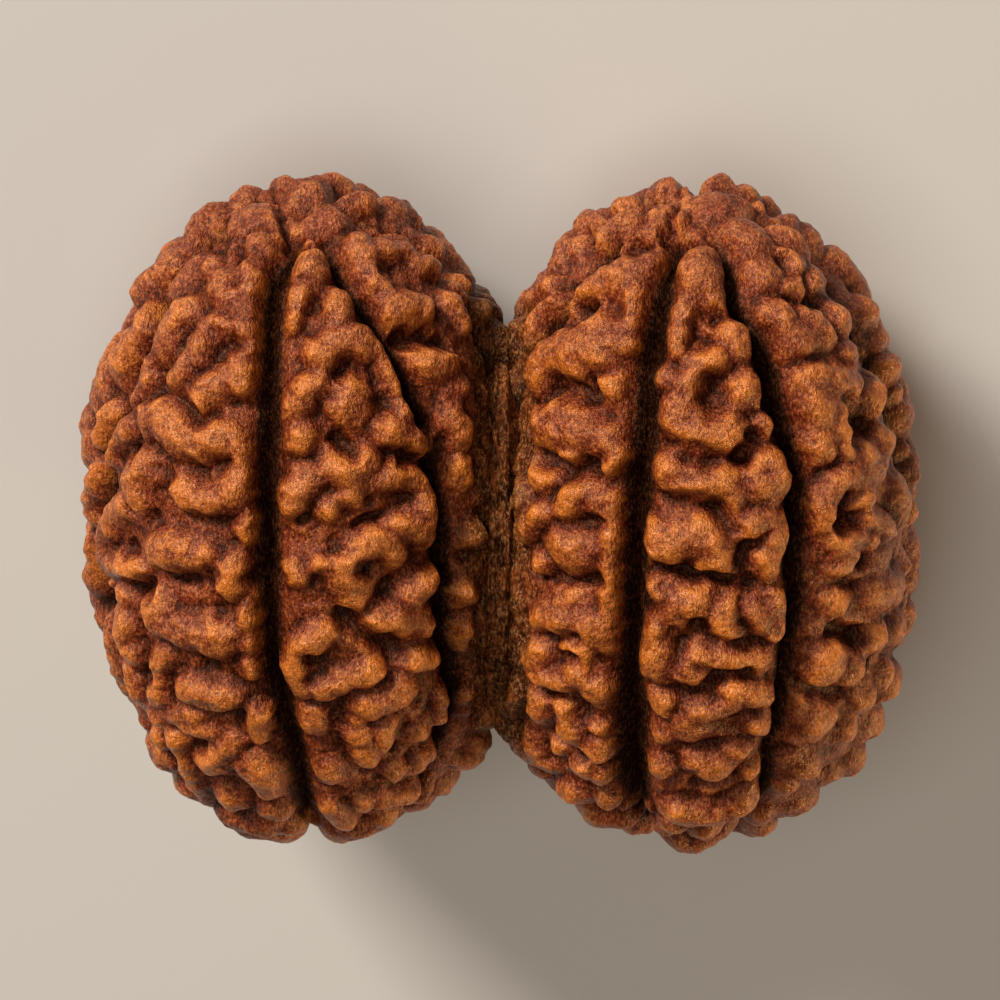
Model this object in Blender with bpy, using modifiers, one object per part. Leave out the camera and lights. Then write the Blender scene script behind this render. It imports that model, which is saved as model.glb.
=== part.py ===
"""Gauri shankar rudraksha: two rudraksha nuts that grew together side by side.

The twin nut lies on its back. X runs across the two nuts, +Y runs along them to the stalk end, and
+Z points up from the surface it rests on. The origin is on that surface, under the middle of the
twin nut. Each nut is a blunt egg, cut from pole to pole by deep grooves, and the wrinkled ridges
between them are raised from its surface by a formula.
"""
import math

import bmesh
import bpy
import numpy as np

NAME = "rudraksha"
SEED = 108

# Driving dimensions, in metres
LEFT_RADIUS = 0.00904
RIGHT_RADIUS = 0.00916
HALF_LENGTH = 0.01395
LEFT_TAPER = 0.05
RIGHT_TAPER = 0.09
LEFT_MIDDLE = (-0.00757, 0.00000, 0.00899)
RIGHT_MIDDLE = (0.00751, 0.00002, 0.00911)
BLUNTNESS = 2.15
REST_CUTTER_SIZE = (0.06, 0.06, 0.004)

# The side on view was read as points on a plane through the left nut's middle: one unit is 0.04 mm there
UNIT = 0.00004
VIEW_TILT = math.radians(30.0)
VIEW_DISTANCE = 0.222
VIEW_TARGET = (0.0, 0.00005, 0.00911)
VIEW_MIDDLE = (502.25, 512.0)
SIGHT_REACH = 0.02
SIGHT_STEPS = 801
STROKE_STEP = 3.5

# Relief, in the same units
PILLOW_CURVE = 0.36
PILLOW_FLANK = 0.02
MELT = 2.0
BEAD_RISE = 3.8
BEAD_SWELL = 0.2
BEAD_CELL = 11.0
PLATEAU_LEVEL = -10.0
PLATEAU_SWELL = 3.0
PLATEAU_CELL = 18.0
FOOT_BLEND = 6.0
RELIEF_GAIN = 1.12
SEGMENT_BULGE = 5.0
HOLLOW_REACH = 1.5
WOBBLE = 4.0
WOBBLE_CELL = 12.0

# Grooves and poles, in the same units
GROOVE_DEPTH = 24.0
GROOVE_MIDDLE = 14.0
WALL_SHIFT = 2.0
WALL_WIDTH = 3.0
EDGE_BULGE = 0.9
EDGE_BULGE_REACH = 8.0
SHOULDER_DEPTH = 5.0
SHOULDER_WIDTH = 9.0
POLE_FADE = (24.0, 75.0)
POLE_PIT_DEPTH = 10.0
POLE_PIT_RADIUS = 17.0
HIDDEN_GROOVE_WIDTH = 20.0
GROOVE_WANDER = 0.05
WANDER_KNOTS = 10
GROOVE_KNOTS = 181
GROOVE_SMOOTHING = 5
LEAST_GROOVE_TURN = 0.08
LEAST_SEGMENT_TURN = 0.4
LEAST_RING = 0.3

# Ridges of the sides that the view doesn't show
SPARE_RADIUS = (11.0, 19.0)
SPARE_TOP = (-2.0, 7.0)
SPARE_LENGTH = (20.0, 75.0)
SPARE_GAP = 28.0
SPARE_TRIES = 2600
SPARE_HEADING = 0.55
SPARE_BEND = 1.5
SPARE_FACING = 0.22
SPARE_POLE = 0.99
SPARE_RING = 0.002

# The fibrous seam that fills the crease between the nuts, in metres
SEAM_MIDDLE = -0.0001
SEAM_AXIS = (-0.0001, 0.0090)
SEAM_SPAN = (-0.0017, 0.0015)
SEAM_SEARCH = 0.016
SEAM_SEARCH_STEPS = 30
SEAM_FILLET = 0.0020
SEAM_LEVEL = 0.0005
SEAM_CLEAR = 0.0002
SEAM_SINK = 0.0003
SEAM_DEEP = 0.0013
SEAM_DIVE = 0.6
SEAM_CAP = 4.0
SEAM_LUMP = 0.00015
SEAM_LUMP_CELL = 0.0005
SEAM_DIP = 1.5
SEAM_DIP_WIDTH = 0.0035

# Lattice noise
NOISE_VALUES = 4096
NOISE_PRIMES = (73856093, 19349663, 83492791)

# Mesh sizes
NUT_COLUMNS = 176
NUT_ROWS = 112
GROOVE_SHARE = 0.2
BLOCK = 2000
SEAM_COLUMNS = 96
SEAM_ROWS = 40
SKIN_CELL = 0.00013
EVEN_FACTOR = 0.5
EVEN_ROUNDS = 6
TRIANGLE_LIMIT = 11400

# Ridges and knobs of the left nut: half width, height of the top, and the points along it
LEFT_RIDGES = (
    (12, 4, ((255, 192),)),
    (10, 3, ((232, 208),)),
    (18, 4, ((190, 240), (215, 218))),
    (18, 4, ((150, 285), (172, 258))),
    (12, 3, ((150, 300), (140, 325))),
    (17, 5, ((118, 360), (130, 340))),
    (14, 4, ((172, 290), (182, 270), (195, 255))),
    (10, 2, ((206, 262),)),
    (8, 2, ((207, 240),)),
    (14, 4, ((215, 222), (240, 218), (266, 210))),
    (10, 4, ((260, 240),)),
    (14, 5, ((268, 218),)),
    (18, -1, ((222, 280), (232, 300))),
    (9, 3, ((249, 265), (252, 297))),
    (10, 2, ((248, 310), (246, 345), (244, 372))),
    (14, 5, ((160, 345), (168, 328), (185, 312))),
    (9, 2, ((205, 325), (235, 325))),
    (10, 5, ((203, 340), (190, 365), (178, 378))),
    (10, 4, ((105, 410), (97, 440))),
    (9, 3, ((92, 470), (86, 500))),
    (12, 4, ((128, 398), (140, 375), (145, 355), (165, 342))),
    (15, 5, ((145, 420), (162, 417), (178, 436))),
    (12, 4, ((178, 438), (198, 448), (215, 440), (228, 435))),
    (10, 3, ((232, 440), (241, 457), (243, 475), (235, 495), (210, 503), (186, 500))),
    (12, 5, ((182, 490),)),
    (12, 4, ((200, 395), (215, 382), (243, 380))),
    (10, 4, ((130, 425), (115, 435), (105, 455))),
    (15, 5, ((145, 465), (133, 480), (137, 498))),
    (13, 4, ((125, 505), (110, 515), (100, 535))),
    (9, 3, ((88, 545),)),
    (11, 4, ((100, 530), (97, 555), (112, 566), (135, 571))),
    (9, 2, ((97, 575), (95, 600))),
    (8, 2, ((118, 597),)),
    (12, 3, ((122, 620), (122, 640), (132, 655))),
    (13, 5, ((155, 555), (178, 549), (205, 561))),
    (9, 4, ((235, 560), (229, 588))),
    (16, 5, ((155, 605), (160, 622), (185, 632), (208, 639), (230, 640))),
    (10, 2, ((155, 668), (165, 656))),
    (10, 3, ((126, 670), (136, 695))),
    (11, 4, ((185, 690), (197, 690), (210, 697), (232, 697))),
    (9, 3, ((157, 680), (157, 700))),
    (10, 3, ((155, 715), (175, 716), (195, 719))),
    (11, 4, ((157, 742),)),
    (8, 2, ((190, 728), (207, 734))),
    (7, 2, ((172, 735), (185, 765))),
    (12, 4, ((205, 765), (222, 757), (232, 745))),
    (9, 2, ((185, 770), (198, 790), (205, 800))),
    (16, 4, ((255, 770), (263, 782), (270, 795))),
    (9, 3, ((258, 715), (256, 740))),
    (9, 2, ((248, 600), (250, 640), (252, 675))),
    (9, 2, ((247, 510), (248, 545))),
    (18, 3, ((230, 803),)),
    (20, 3, ((275, 818),)),
    (20, 5, ((307, 188),)),
    (12, 3, ((325, 182), (355, 182))),
    (16, 4, ((390, 203), (412, 212))),
    (15, 4, ((440, 243),)),
    (14, 4, ((468, 280),)),
    (10, 2, ((488, 308),)),
    (18, 4, ((330, 212),)),
    (9, 3, ((350, 200), (365, 200))),
    (9, 3, ((375, 215), (395, 225), (410, 237))),
    (12, 3, ((376, 248), (408, 248))),
    (9, 3, ((418, 262), (438, 264))),
    (10, 3, ((458, 285), (474, 296))),
    (12, 2, ((360, 240), (372, 268), (388, 290))),
    (15, 5, ((395, 305), (422, 308))),
    (10, 2, ((455, 302), (468, 322))),
    (18, 5, ((430, 362), (448, 364))),
    (12, 2, ((462, 385), (455, 402))),
    (11, 3, ((455, 415), (466, 436))),
    (10, 2, ((466, 462), (470, 482))),
    (12, 4, ((480, 538),)),
    (12, 4, ((470, 598),)),
    (10, 1, ((468, 632), (470, 655))),
    (12, 2, ((455, 700), (450, 720))),
    (10, 1, ((475, 705),)),
    (20, 6, ((310, 265),)),
    (7, 1, ((300, 288), (296, 310), (290, 322))),
    (12, 3, ((345, 298), (340, 318))),
    (11, 3, ((320, 355), (335, 342), (355, 335), (365, 345))),
    (9, 2, ((370, 335), (390, 358), (400, 390), (410, 425))),
    (10, 3, ((318, 381), (302, 396), (292, 410))),
    (25, 6, ((348, 402),)),
    (9, 3, ((380, 428),)),
    (12, 4, ((300, 438),)),
    (12, 3, ((308, 481), (295, 492), (287, 504))),
    (11, 4, ((330, 470), (347, 473), (365, 463))),
    (11, 4, ((351, 493),)),
    (9, 2, ((375, 480), (395, 480))),
    (9, 3, ((328, 510),)),
    (10, 6, ((390, 430), (415, 437), (432, 442))),
    (11, 4, ((400, 475), (420, 479), (431, 495), (435, 522))),
    (11, 4, ((400, 522), (435, 533))),
    (12, 4, ((294, 577),)),
    (7, 2, ((322, 567),)),
    (10, 4, ((345, 583), (342, 568), (352, 558), (364, 548), (380, 540), (392, 546), (398, 558))),
    (15, 6, ((355, 595),)),
    (12, 4, ((375, 627), (390, 620), (415, 622), (432, 628))),
    (12, 5, ((415, 600), (428, 588), (442, 578))),
    (10, 3, ((415, 662), (436, 662))),
    (11, 3, ((323, 637), (308, 644), (293, 656), (290, 672), (299, 693))),
    (9, 3, ((322, 692), (335, 687), (352, 680), (375, 672))),
    (14, 5, ((368, 705), (385, 702), (404, 694))),
    (18, 5, ((310, 725),)),
    (8, 2, ((357, 722),)),
    (9, 3, ((360, 735), (368, 758))),
    (9, 3, ((386, 730), (381, 745))),
    (10, 2, ((423, 735),)),
    (18, 4, ((330, 776),)),
    (13, 4, ((397, 773),)),
    (8, 2, ((412, 772), (425, 762), (445, 757))),
    (10, 2, ((328, 813), (345, 825))),
    (9, 2, ((366, 805),)),
    (10, 2, ((385, 802), (410, 798), (425, 792))),
    (9, 2, ((323, 836),)),
    (9, 2, ((372, 826),)),
)

# Hollows, pits and slits of the left nut: half width, depth, and the points along it
LEFT_HOLLOWS = (
    (7, 14, ((297, 228), (290, 237), (315, 243))),
    (5, 12, ((288, 235), (282, 215), (276, 197))),
    (7, 8, ((237, 247), (240, 253))),
    (6, 4, ((232, 285),)),
    (8, 5, ((215, 338), (240, 345))),
    (9, 8, ((157, 388),)),
    (11, 5, ((215, 460),)),
    (9, 5, ((195, 470),)),
    (8, 5, ((192, 412), (186, 408))),
    (7, 4, ((235, 405),)),
    (9, 8, ((132, 452),)),
    (8, 9, ((150, 520),)),
    (6, 6, ((132, 508),)),
    (7, 5, ((185, 514), (215, 520))),
    (9, 8, ((125, 550),)),
    (11, 14, ((130, 588), (145, 590))),
    (7, 7, ((208, 570),)),
    (7, 9, ((170, 580), (192, 585))),
    (7, 8, ((215, 615),)),
    (9, 9, ((146, 675),)),
    (9, 9, ((205, 665),)),
    (5, 8, ((215, 713), (242, 716))),
    (11, 14, ((195, 745),)),
    (7, 8, ((220, 785), (235, 790))),
    (5, 5, ((380, 232),)),
    (9, 5, ((388, 268),)),
    (9, 13, ((408, 336), (430, 339), (450, 343))),
    (5, 6, ((455, 275),)),
    (9, 7, ((313, 306),)),
    (8, 5, ((340, 368),)),
    (4, 4, ((319, 400), (322, 415), (345, 443))),
    (7, 12, ((337, 437), (355, 452))),
    (6, 8, ((303, 523),)),
    (9, 7, ((410, 460),)),
    (5, 9, ((360, 525), (385, 516), (400, 509))),
    (4, 4, ((325, 555), (350, 550))),
    (7, 8, ((365, 568),)),
    (9, 9, ((390, 590),)),
    (10, 14, ((345, 621), (380, 641), (402, 656))),
    (9, 8, ((316, 662),)),
    (8, 7, ((420, 706),)),
    (7, 8, ((365, 778),)),
    (7, 7, ((397, 753),)),
    (9, 8, ((425, 778),)),
    (4, 5, ((320, 798), (345, 798))),
    (8, 8, ((475, 561),)),
    (6, 7, ((490, 320),)),
)

# Grooves of the left nut that the view shows: height in the view, left edge and right edge
LEFT_GROOVES = (
    ((200, 238, 250), (245, 192, 206), (290, 150, 163), (330, 147, 160), (370, 124, 138), (400, 116, 128),
     (445, 97, 108), (500, 90, 100), (560, 88, 98)),
    ((238, 282, 292), (255, 266, 284), (290, 257, 279), (340, 254, 277), (400, 253, 276), (460, 252, 275),
     (520, 251, 275), (580, 253, 276), (640, 255, 277), (665, 256, 276), (692, 264, 288), (720, 271, 293),
     (750, 281, 301), (780, 290, 306), (805, 296, 309)),
    ((250, 324, 332), (285, 345, 356), (330, 379, 391), (375, 401, 416), (425, 422, 439), (475, 433, 451),
     (535, 441, 461), (575, 443, 464), (615, 443, 464), (650, 447, 468), (690, 457, 476)),
)
LEFT_HIDDEN_GROOVES = (86.0, 139.0, 196.0, 240.0)

RIGHT_RIDGES = (
    (12, 5, ((663, 186),)),
    (14, 4, ((640, 192),)),
    (13, 3, ((612, 204),)),
    (14, 3, ((592, 214),)),
    (10, 4, ((655, 213), (672, 214))),
    (12, 2, ((575, 240), (590, 222))),
    (12, 3, ((556, 262), (568, 246), (580, 236))),
    (10, 1, ((600, 240), (610, 225))),
    (10, 3, ((620, 240), (635, 225), (660, 225))),
    (10, 2, ((653, 253), (652, 265))),
    (16, 3, ((634, 272), (610, 275), (580, 285), (563, 298))),
    (12, 2, ((530, 295), (548, 284))),
    (9, 2, ((522, 345), (528, 322), (540, 308), (552, 301))),
    (12, 1, ((545, 325),)),
    (14, 3, ((590, 325), (612, 335))),
    (18, 6, ((532, 368), (545, 353), (580, 352), (603, 345))),
    (9, 1, ((634, 290), (628, 320), (624, 345))),
    (12, 3, ((610, 385),)),
    (26, 2, ((560, 412),)),
    (16, 6, ((540, 425), (572, 432), (592, 436))),
    (12, 5, ((570, 452),)),
    (8, 3, ((606, 440), (614, 447), (616, 456), (610, 470))),
    (12, 3, ((537, 475),)),
    (9, 5, ((580, 484), (570, 500), (562, 518))),
    (14, 5, ((592, 500),)),
    (8, 2, ((516, 490), (519, 503))),
    (9, 3, ((522, 530), (530, 520), (545, 512))),
    (20, 5, ((560, 545), (580, 552))),
    (10, 3, ((537, 565),)),
    (16, 5, ((542, 618), (565, 620), (590, 630))),
    (12, 5, ((594, 634),)),
    (26, 0, ((570, 603),)),
    (12, 4, ((535, 650), (532, 665), (540, 677))),
    (9, 3, ((548, 680), (562, 684), (575, 674), (580, 655))),
    (8, 1, ((562, 643), (585, 650))),
    (14, 5, ((588, 680), (597, 697))),
    (12, 3, ((538, 703), (536, 716))),
    (10, 4, ((562, 708), (566, 727), (576, 742))),
    (12, 4, ((588, 751), (601, 757))),
    (9, 2, ((596, 735),)),
    (12, 2, ((555, 748),)),
    (12, 3, ((580, 768), (600, 782))),
    (14, 3, ((605, 806),)),
    (15, 3, ((567, 792), (578, 798))),
    (15, 2, ((530, 748), (542, 764))),
    (13, 3, ((635, 820),)),
    (8, 1, ((510, 690), (505, 715))),
    (8, 1, ((611, 500), (609, 560), (607, 610), (606, 650))),
    (22, 7, ((700, 264), (702, 280))),
    (9, 3, ((684, 300), (677, 320), (676, 348))),
    (10, 1, ((716, 290), (718, 303))),
    (16, 6, ((740, 330), (740, 344))),
    (10, 4, ((690, 365), (700, 358), (717, 358))),
    (10, 4, ((697, 370), (694, 385))),
    (16, 5, ((748, 380), (748, 392))),
    (10, 5, ((661, 375),)),
    (9, 2, ((676, 383), (690, 386))),
    (14, 6, ((680, 402), (674, 418), (690, 431), (715, 434), (731, 434))),
    (12, 4, ((768, 422),)),
    (14, 5, ((666, 470), (690, 486), (712, 484), (728, 482))),
    (10, 4, ((733, 490), (736, 505))),
    (18, 6, ((762, 482), (778, 480))),
    (12, 4, ((776, 462), (784, 480))),
    (14, 6, ((665, 548), (680, 541), (700, 540))),
    (16, 5, ((690, 533), (715, 545))),
    (12, 5, ((714, 560),)),
    (10, 4, ((653, 530), (653, 558))),
    (12, 3, ((742, 525), (762, 518), (780, 520))),
    (11, 4, ((781, 530), (779, 545))),
    (15, 6, ((768, 565),)),
    (12, 5, ((653, 592),)),
    (14, 6, ((684, 603), (698, 606))),
    (10, 2, ((668, 612), (675, 622))),
    (13, 5, ((652, 632), (652, 672))),
    (10, 3, ((683, 672),)),
    (12, 1, ((654, 698), (662, 710))),
    (11, 5, ((724, 612), (722, 625), (730, 632))),
    (12, 5, ((755, 612), (766, 626))),
    (9, 2, ((780, 600), (778, 635))),
    (12, 3, ((700, 655), (730, 658), (765, 660))),
    (10, 2, ((690, 676),)),
    (12, 3, ((735, 692), (762, 697), (770, 701))),
    (18, 6, ((688, 728),)),
    (12, 2, ((700, 712), (730, 704))),
    (15, 4, ((762, 726),)),
    (14, 4, ((740, 755),)),
    (12, 3, ((700, 765), (718, 772))),
    (12, 5, ((655, 772),)),
    (10, 2, ((662, 740),)),
    (10, 3, ((754, 775),)),
    (14, 4, ((672, 814), (700, 816), (730, 814), (753, 800))),
    (16, 3, ((672, 830),)),
    (14, 3, ((706, 834),)),
    (10, 2, ((690, 765),)),
    (20, 4, ((700, 198), (720, 202))),
    (14, 3, ((733, 196), (745, 208))),
    (18, 2, ((735, 224), (760, 240))),
    (12, 2, ((785, 250), (796, 262))),
    (16, 4, ((785, 230), (801, 243))),
    (18, 5, ((766, 270),)),
    (16, 3, ((818, 275),)),
    (12, 2, ((795, 285),)),
    (12, 3, ((775, 312), (790, 322))),
    (18, 4, ((800, 335), (802, 348))),
    (12, 3, ((808, 318), (826, 336))),
    (14, 4, ((843, 316),)),
    (16, 4, ((850, 352),)),
    (14, 5, ((810, 380), (830, 376), (852, 382))),
    (14, 4, ((814, 395), (824, 415))),
    (9, 4, ((833, 402), (841, 425), (848, 448))),
    (14, 5, ((823, 442),)),
    (20, 4, ((878, 392),)),
    (12, 3, ((880, 350),)),
    (10, 3, ((903, 392),)),
    (20, 4, ((888, 444),)),
    (12, 3, ((914, 450),)),
    (20, 4, ((862, 462), (878, 470))),
    (10, 5, ((836, 490), (843, 478), (852, 476), (862, 484), (861, 502))),
    (10, 2, ((826, 500), (830, 520))),
    (20, 4, ((903, 492), (905, 515))),
    (8, 3, ((920, 500), (920, 525))),
    (8, 3, ((862, 517), (877, 521), (892, 532))),
    (8, 3, ((848, 532), (862, 534), (871, 543))),
    (12, 4, ((838, 537), (852, 550))),
    (12, 4, ((843, 570),)),
    (26, 2, ((885, 560),)),
    (14, 4, ((842, 606),)),
    (18, 4, ((875, 595), (898, 590))),
    (12, 2, ((912, 565),)),
    (16, 3, ((878, 640),)),
    (14, 2, ((900, 630),)),
    (26, 4, ((830, 668),)),
    (14, 3, ((855, 672),)),
    (14, 3, ((886, 678),)),
    (16, 3, ((866, 700),)),
    (22, 3, ((822, 730),)),
    (14, 2, ((850, 732),)),
    (16, 2, ((813, 774),)),
    (14, 2, ((790, 796),)),
)

RIGHT_HOLLOWS = (
    (8, 18, ((668, 232), (680, 236), (692, 238))),
    (5, 12, ((669, 230), (675, 210), (680, 188))),
    (8, 9, ((668, 205),)),
    (7, 8, ((630, 243), (650, 247))),
    (6, 6, ((594, 263),)),
    (6, 6, ((556, 281), (575, 273), (590, 262))),
    (11, 14, ((583, 308),)),
    (7, 4, ((605, 309), (620, 311))),
    (10, 14, ((546, 388), (562, 390), (580, 394), (591, 393))),
    (9, 13, ((540, 460), (556, 466), (572, 473), (588, 470))),
    (6, 6, ((560, 524), (600, 520))),
    (5, 7, ((530, 579), (562, 582), (600, 584))),
    (8, 7, ((548, 637), (575, 636))),
    (9, 12, ((572, 659),)),
    (7, 9, ((540, 689), (560, 694), (580, 707))),
    (6, 5, ((592, 674),)),
    (9, 8, ((580, 716),)),
    (6, 9, ((548, 734), (562, 744), (586, 757))),
    (9, 6, ((693, 328), (696, 343))),
    (9, 9, ((714, 314),)),
    (9, 12, ((707, 343),)),
    (13, 11, ((712, 384),)),
    (11, 7, ((712, 412),)),
    (10, 14, ((742, 456),)),
    (8, 8, ((752, 436),)),
    (6, 7, ((668, 440), (695, 447), (720, 457))),
    (8, 6, ((708, 465),)),
    (8, 9, ((668, 498), (700, 503), (722, 512))),
    (9, 8, ((735, 525),)),
    (6, 14, ((655, 570), (680, 576), (705, 578), (733, 584))),
    (8, 10, ((748, 546),)),
    (8, 11, ((749, 562), (752, 585))),
    (7, 4, ((665, 585),)),
    (9, 8, ((685, 646),)),
    (8, 6, ((745, 628),)),
    (10, 9, ((698, 627),)),
    (6, 7, ((690, 645), (720, 641), (765, 644))),
    (7, 14, ((716, 683), (730, 677), (745, 672))),
    (8, 8, ((695, 693), (716, 697))),
    (8, 6, ((757, 712),)),
    (4, 5, ((702, 746), (720, 748), (752, 741))),
    (10, 12, ((700, 790), (728, 785))),
    (8, 8, ((785, 262),)),
    (8, 5, ((795, 298),)),
    (7, 8, ((757, 216),)),
    (8, 6, ((812, 298),)),
    (8, 6, ((848, 400),)),
    (13, 15, ((856, 428), (872, 420))),
    (8, 8, ((848, 503), (846, 515))),
    (9, 14, ((842, 524), (856, 518))),
    (7, 6, ((868, 562),)),
    (5, 5, ((836, 583), (862, 586))),
    (10, 15, ((842, 635), (866, 640))),
    (8, 14, ((872, 668),)),
    (8, 10, ((805, 692), (822, 698), (850, 698))),
    (10, 11, ((790, 760),)),
    (5, 4, ((800, 361), (845, 363))),
)

RIGHT_GROOVES = (
    ((262, 658, 672), (300, 647, 667), (330, 640, 663), (350, 635, 664), (375, 632, 650), (400, 630, 655),
     (430, 628, 656), (455, 626, 650), (475, 621, 645), (490, 620, 649), (525, 620, 643), (540, 620, 641),
     (565, 619, 644), (605, 618, 643), (640, 617, 641), (660, 617, 637), (680, 614, 635), (697, 611, 638),
     (715, 609, 644), (760, 612, 641), (790, 614, 646), (810, 622, 642)),
    ((262, 728, 738), (300, 729, 745), (320, 744, 760), (345, 756, 776), (365, 760, 785), (385, 767, 790),
     (405, 768, 790), (435, 784, 802), (455, 787, 808), (475, 796, 811), (510, 792, 815), (545, 793, 812),
     (575, 790, 812), (605, 795, 815), (640, 788, 806), (680, 786, 800), (700, 779, 797), (720, 780, 797),
     (760, 767, 782), (800, 767, 777)),
    ((262, 828, 838), (300, 846, 855), (340, 868, 878), (400, 897, 905), (450, 908, 914), (500, 914, 919)),
)
RIGHT_HIDDEN_GROOVES = (128.0, 181.0, 220.0, 255.0, 289.0)


class Egg:
    """A blunt egg along Y: (ring / (radius * slimming))^n + |y / half length|^n = 1, n being its bluntness.

    The slimming, 1 - taper * y / half length, makes it narrower towards the stalk end.
    """

    def __init__(self, middle, radius, taper):
        self.middle = np.array(middle)
        self.radius = radius
        self.taper = taper

    def slimmed_radius(self, along):
        """The radius that the egg's rings are measured against at places along its length."""
        return self.radius * (1.0 - self.taper * along / HALF_LENGTH)

    def surface(self, theta, turn):
        """Points of the plain egg at a polar angle from the stalk end and a turn about the length."""
        power = 2.0 / BLUNTNESS
        along = HALF_LENGTH * np.sign(np.cos(theta)) * np.abs(np.cos(theta)) ** power
        ring = self.slimmed_radius(along) * np.abs(np.sin(theta)) ** power
        return np.stack((ring * np.sin(turn), along, ring * np.cos(turn)), axis=-1)

    def normals(self, points):
        """Outward directions of the plain egg, from the slope of its equation."""
        radius = self.slimmed_radius(points[..., 1])
        ring = np.maximum(np.hypot(points[..., 0], points[..., 2]), 1e-9)
        across = (ring / radius) ** (BLUNTNESS - 1.0) / radius
        along = np.abs(points[..., 1] / HALF_LENGTH) ** (BLUNTNESS - 1.0) / HALF_LENGTH
        along = np.sign(points[..., 1]) * along
        along = along + (ring / radius) ** BLUNTNESS * self.taper * self.radius / (HALF_LENGTH * radius)
        slope = np.stack((across * points[..., 0] / ring, along, across * points[..., 2] / ring), axis=-1)
        return slope / np.linalg.norm(slope, axis=-1, keepdims=True)

    def inside(self, points):
        """The egg's equation: under 1 inside the plain egg, 1 on it and more outside."""
        ring = np.hypot(points[..., 0], points[..., 2]) / self.slimmed_radius(points[..., 1])
        return ring ** BLUNTNESS + np.abs(points[..., 1] / HALF_LENGTH) ** BLUNTNESS

    def polar_angle(self, points):
        """Polar angle from the stalk end of points on the plain egg."""
        ring = np.hypot(points[:, 0], points[:, 2]) / self.slimmed_radius(points[:, 1])
        along = np.sign(points[:, 1]) * np.abs(points[:, 1] / HALF_LENGTH) ** (BLUNTNESS / 2.0)
        return np.arctan2(ring ** (BLUNTNESS / 2.0), along)


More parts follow.
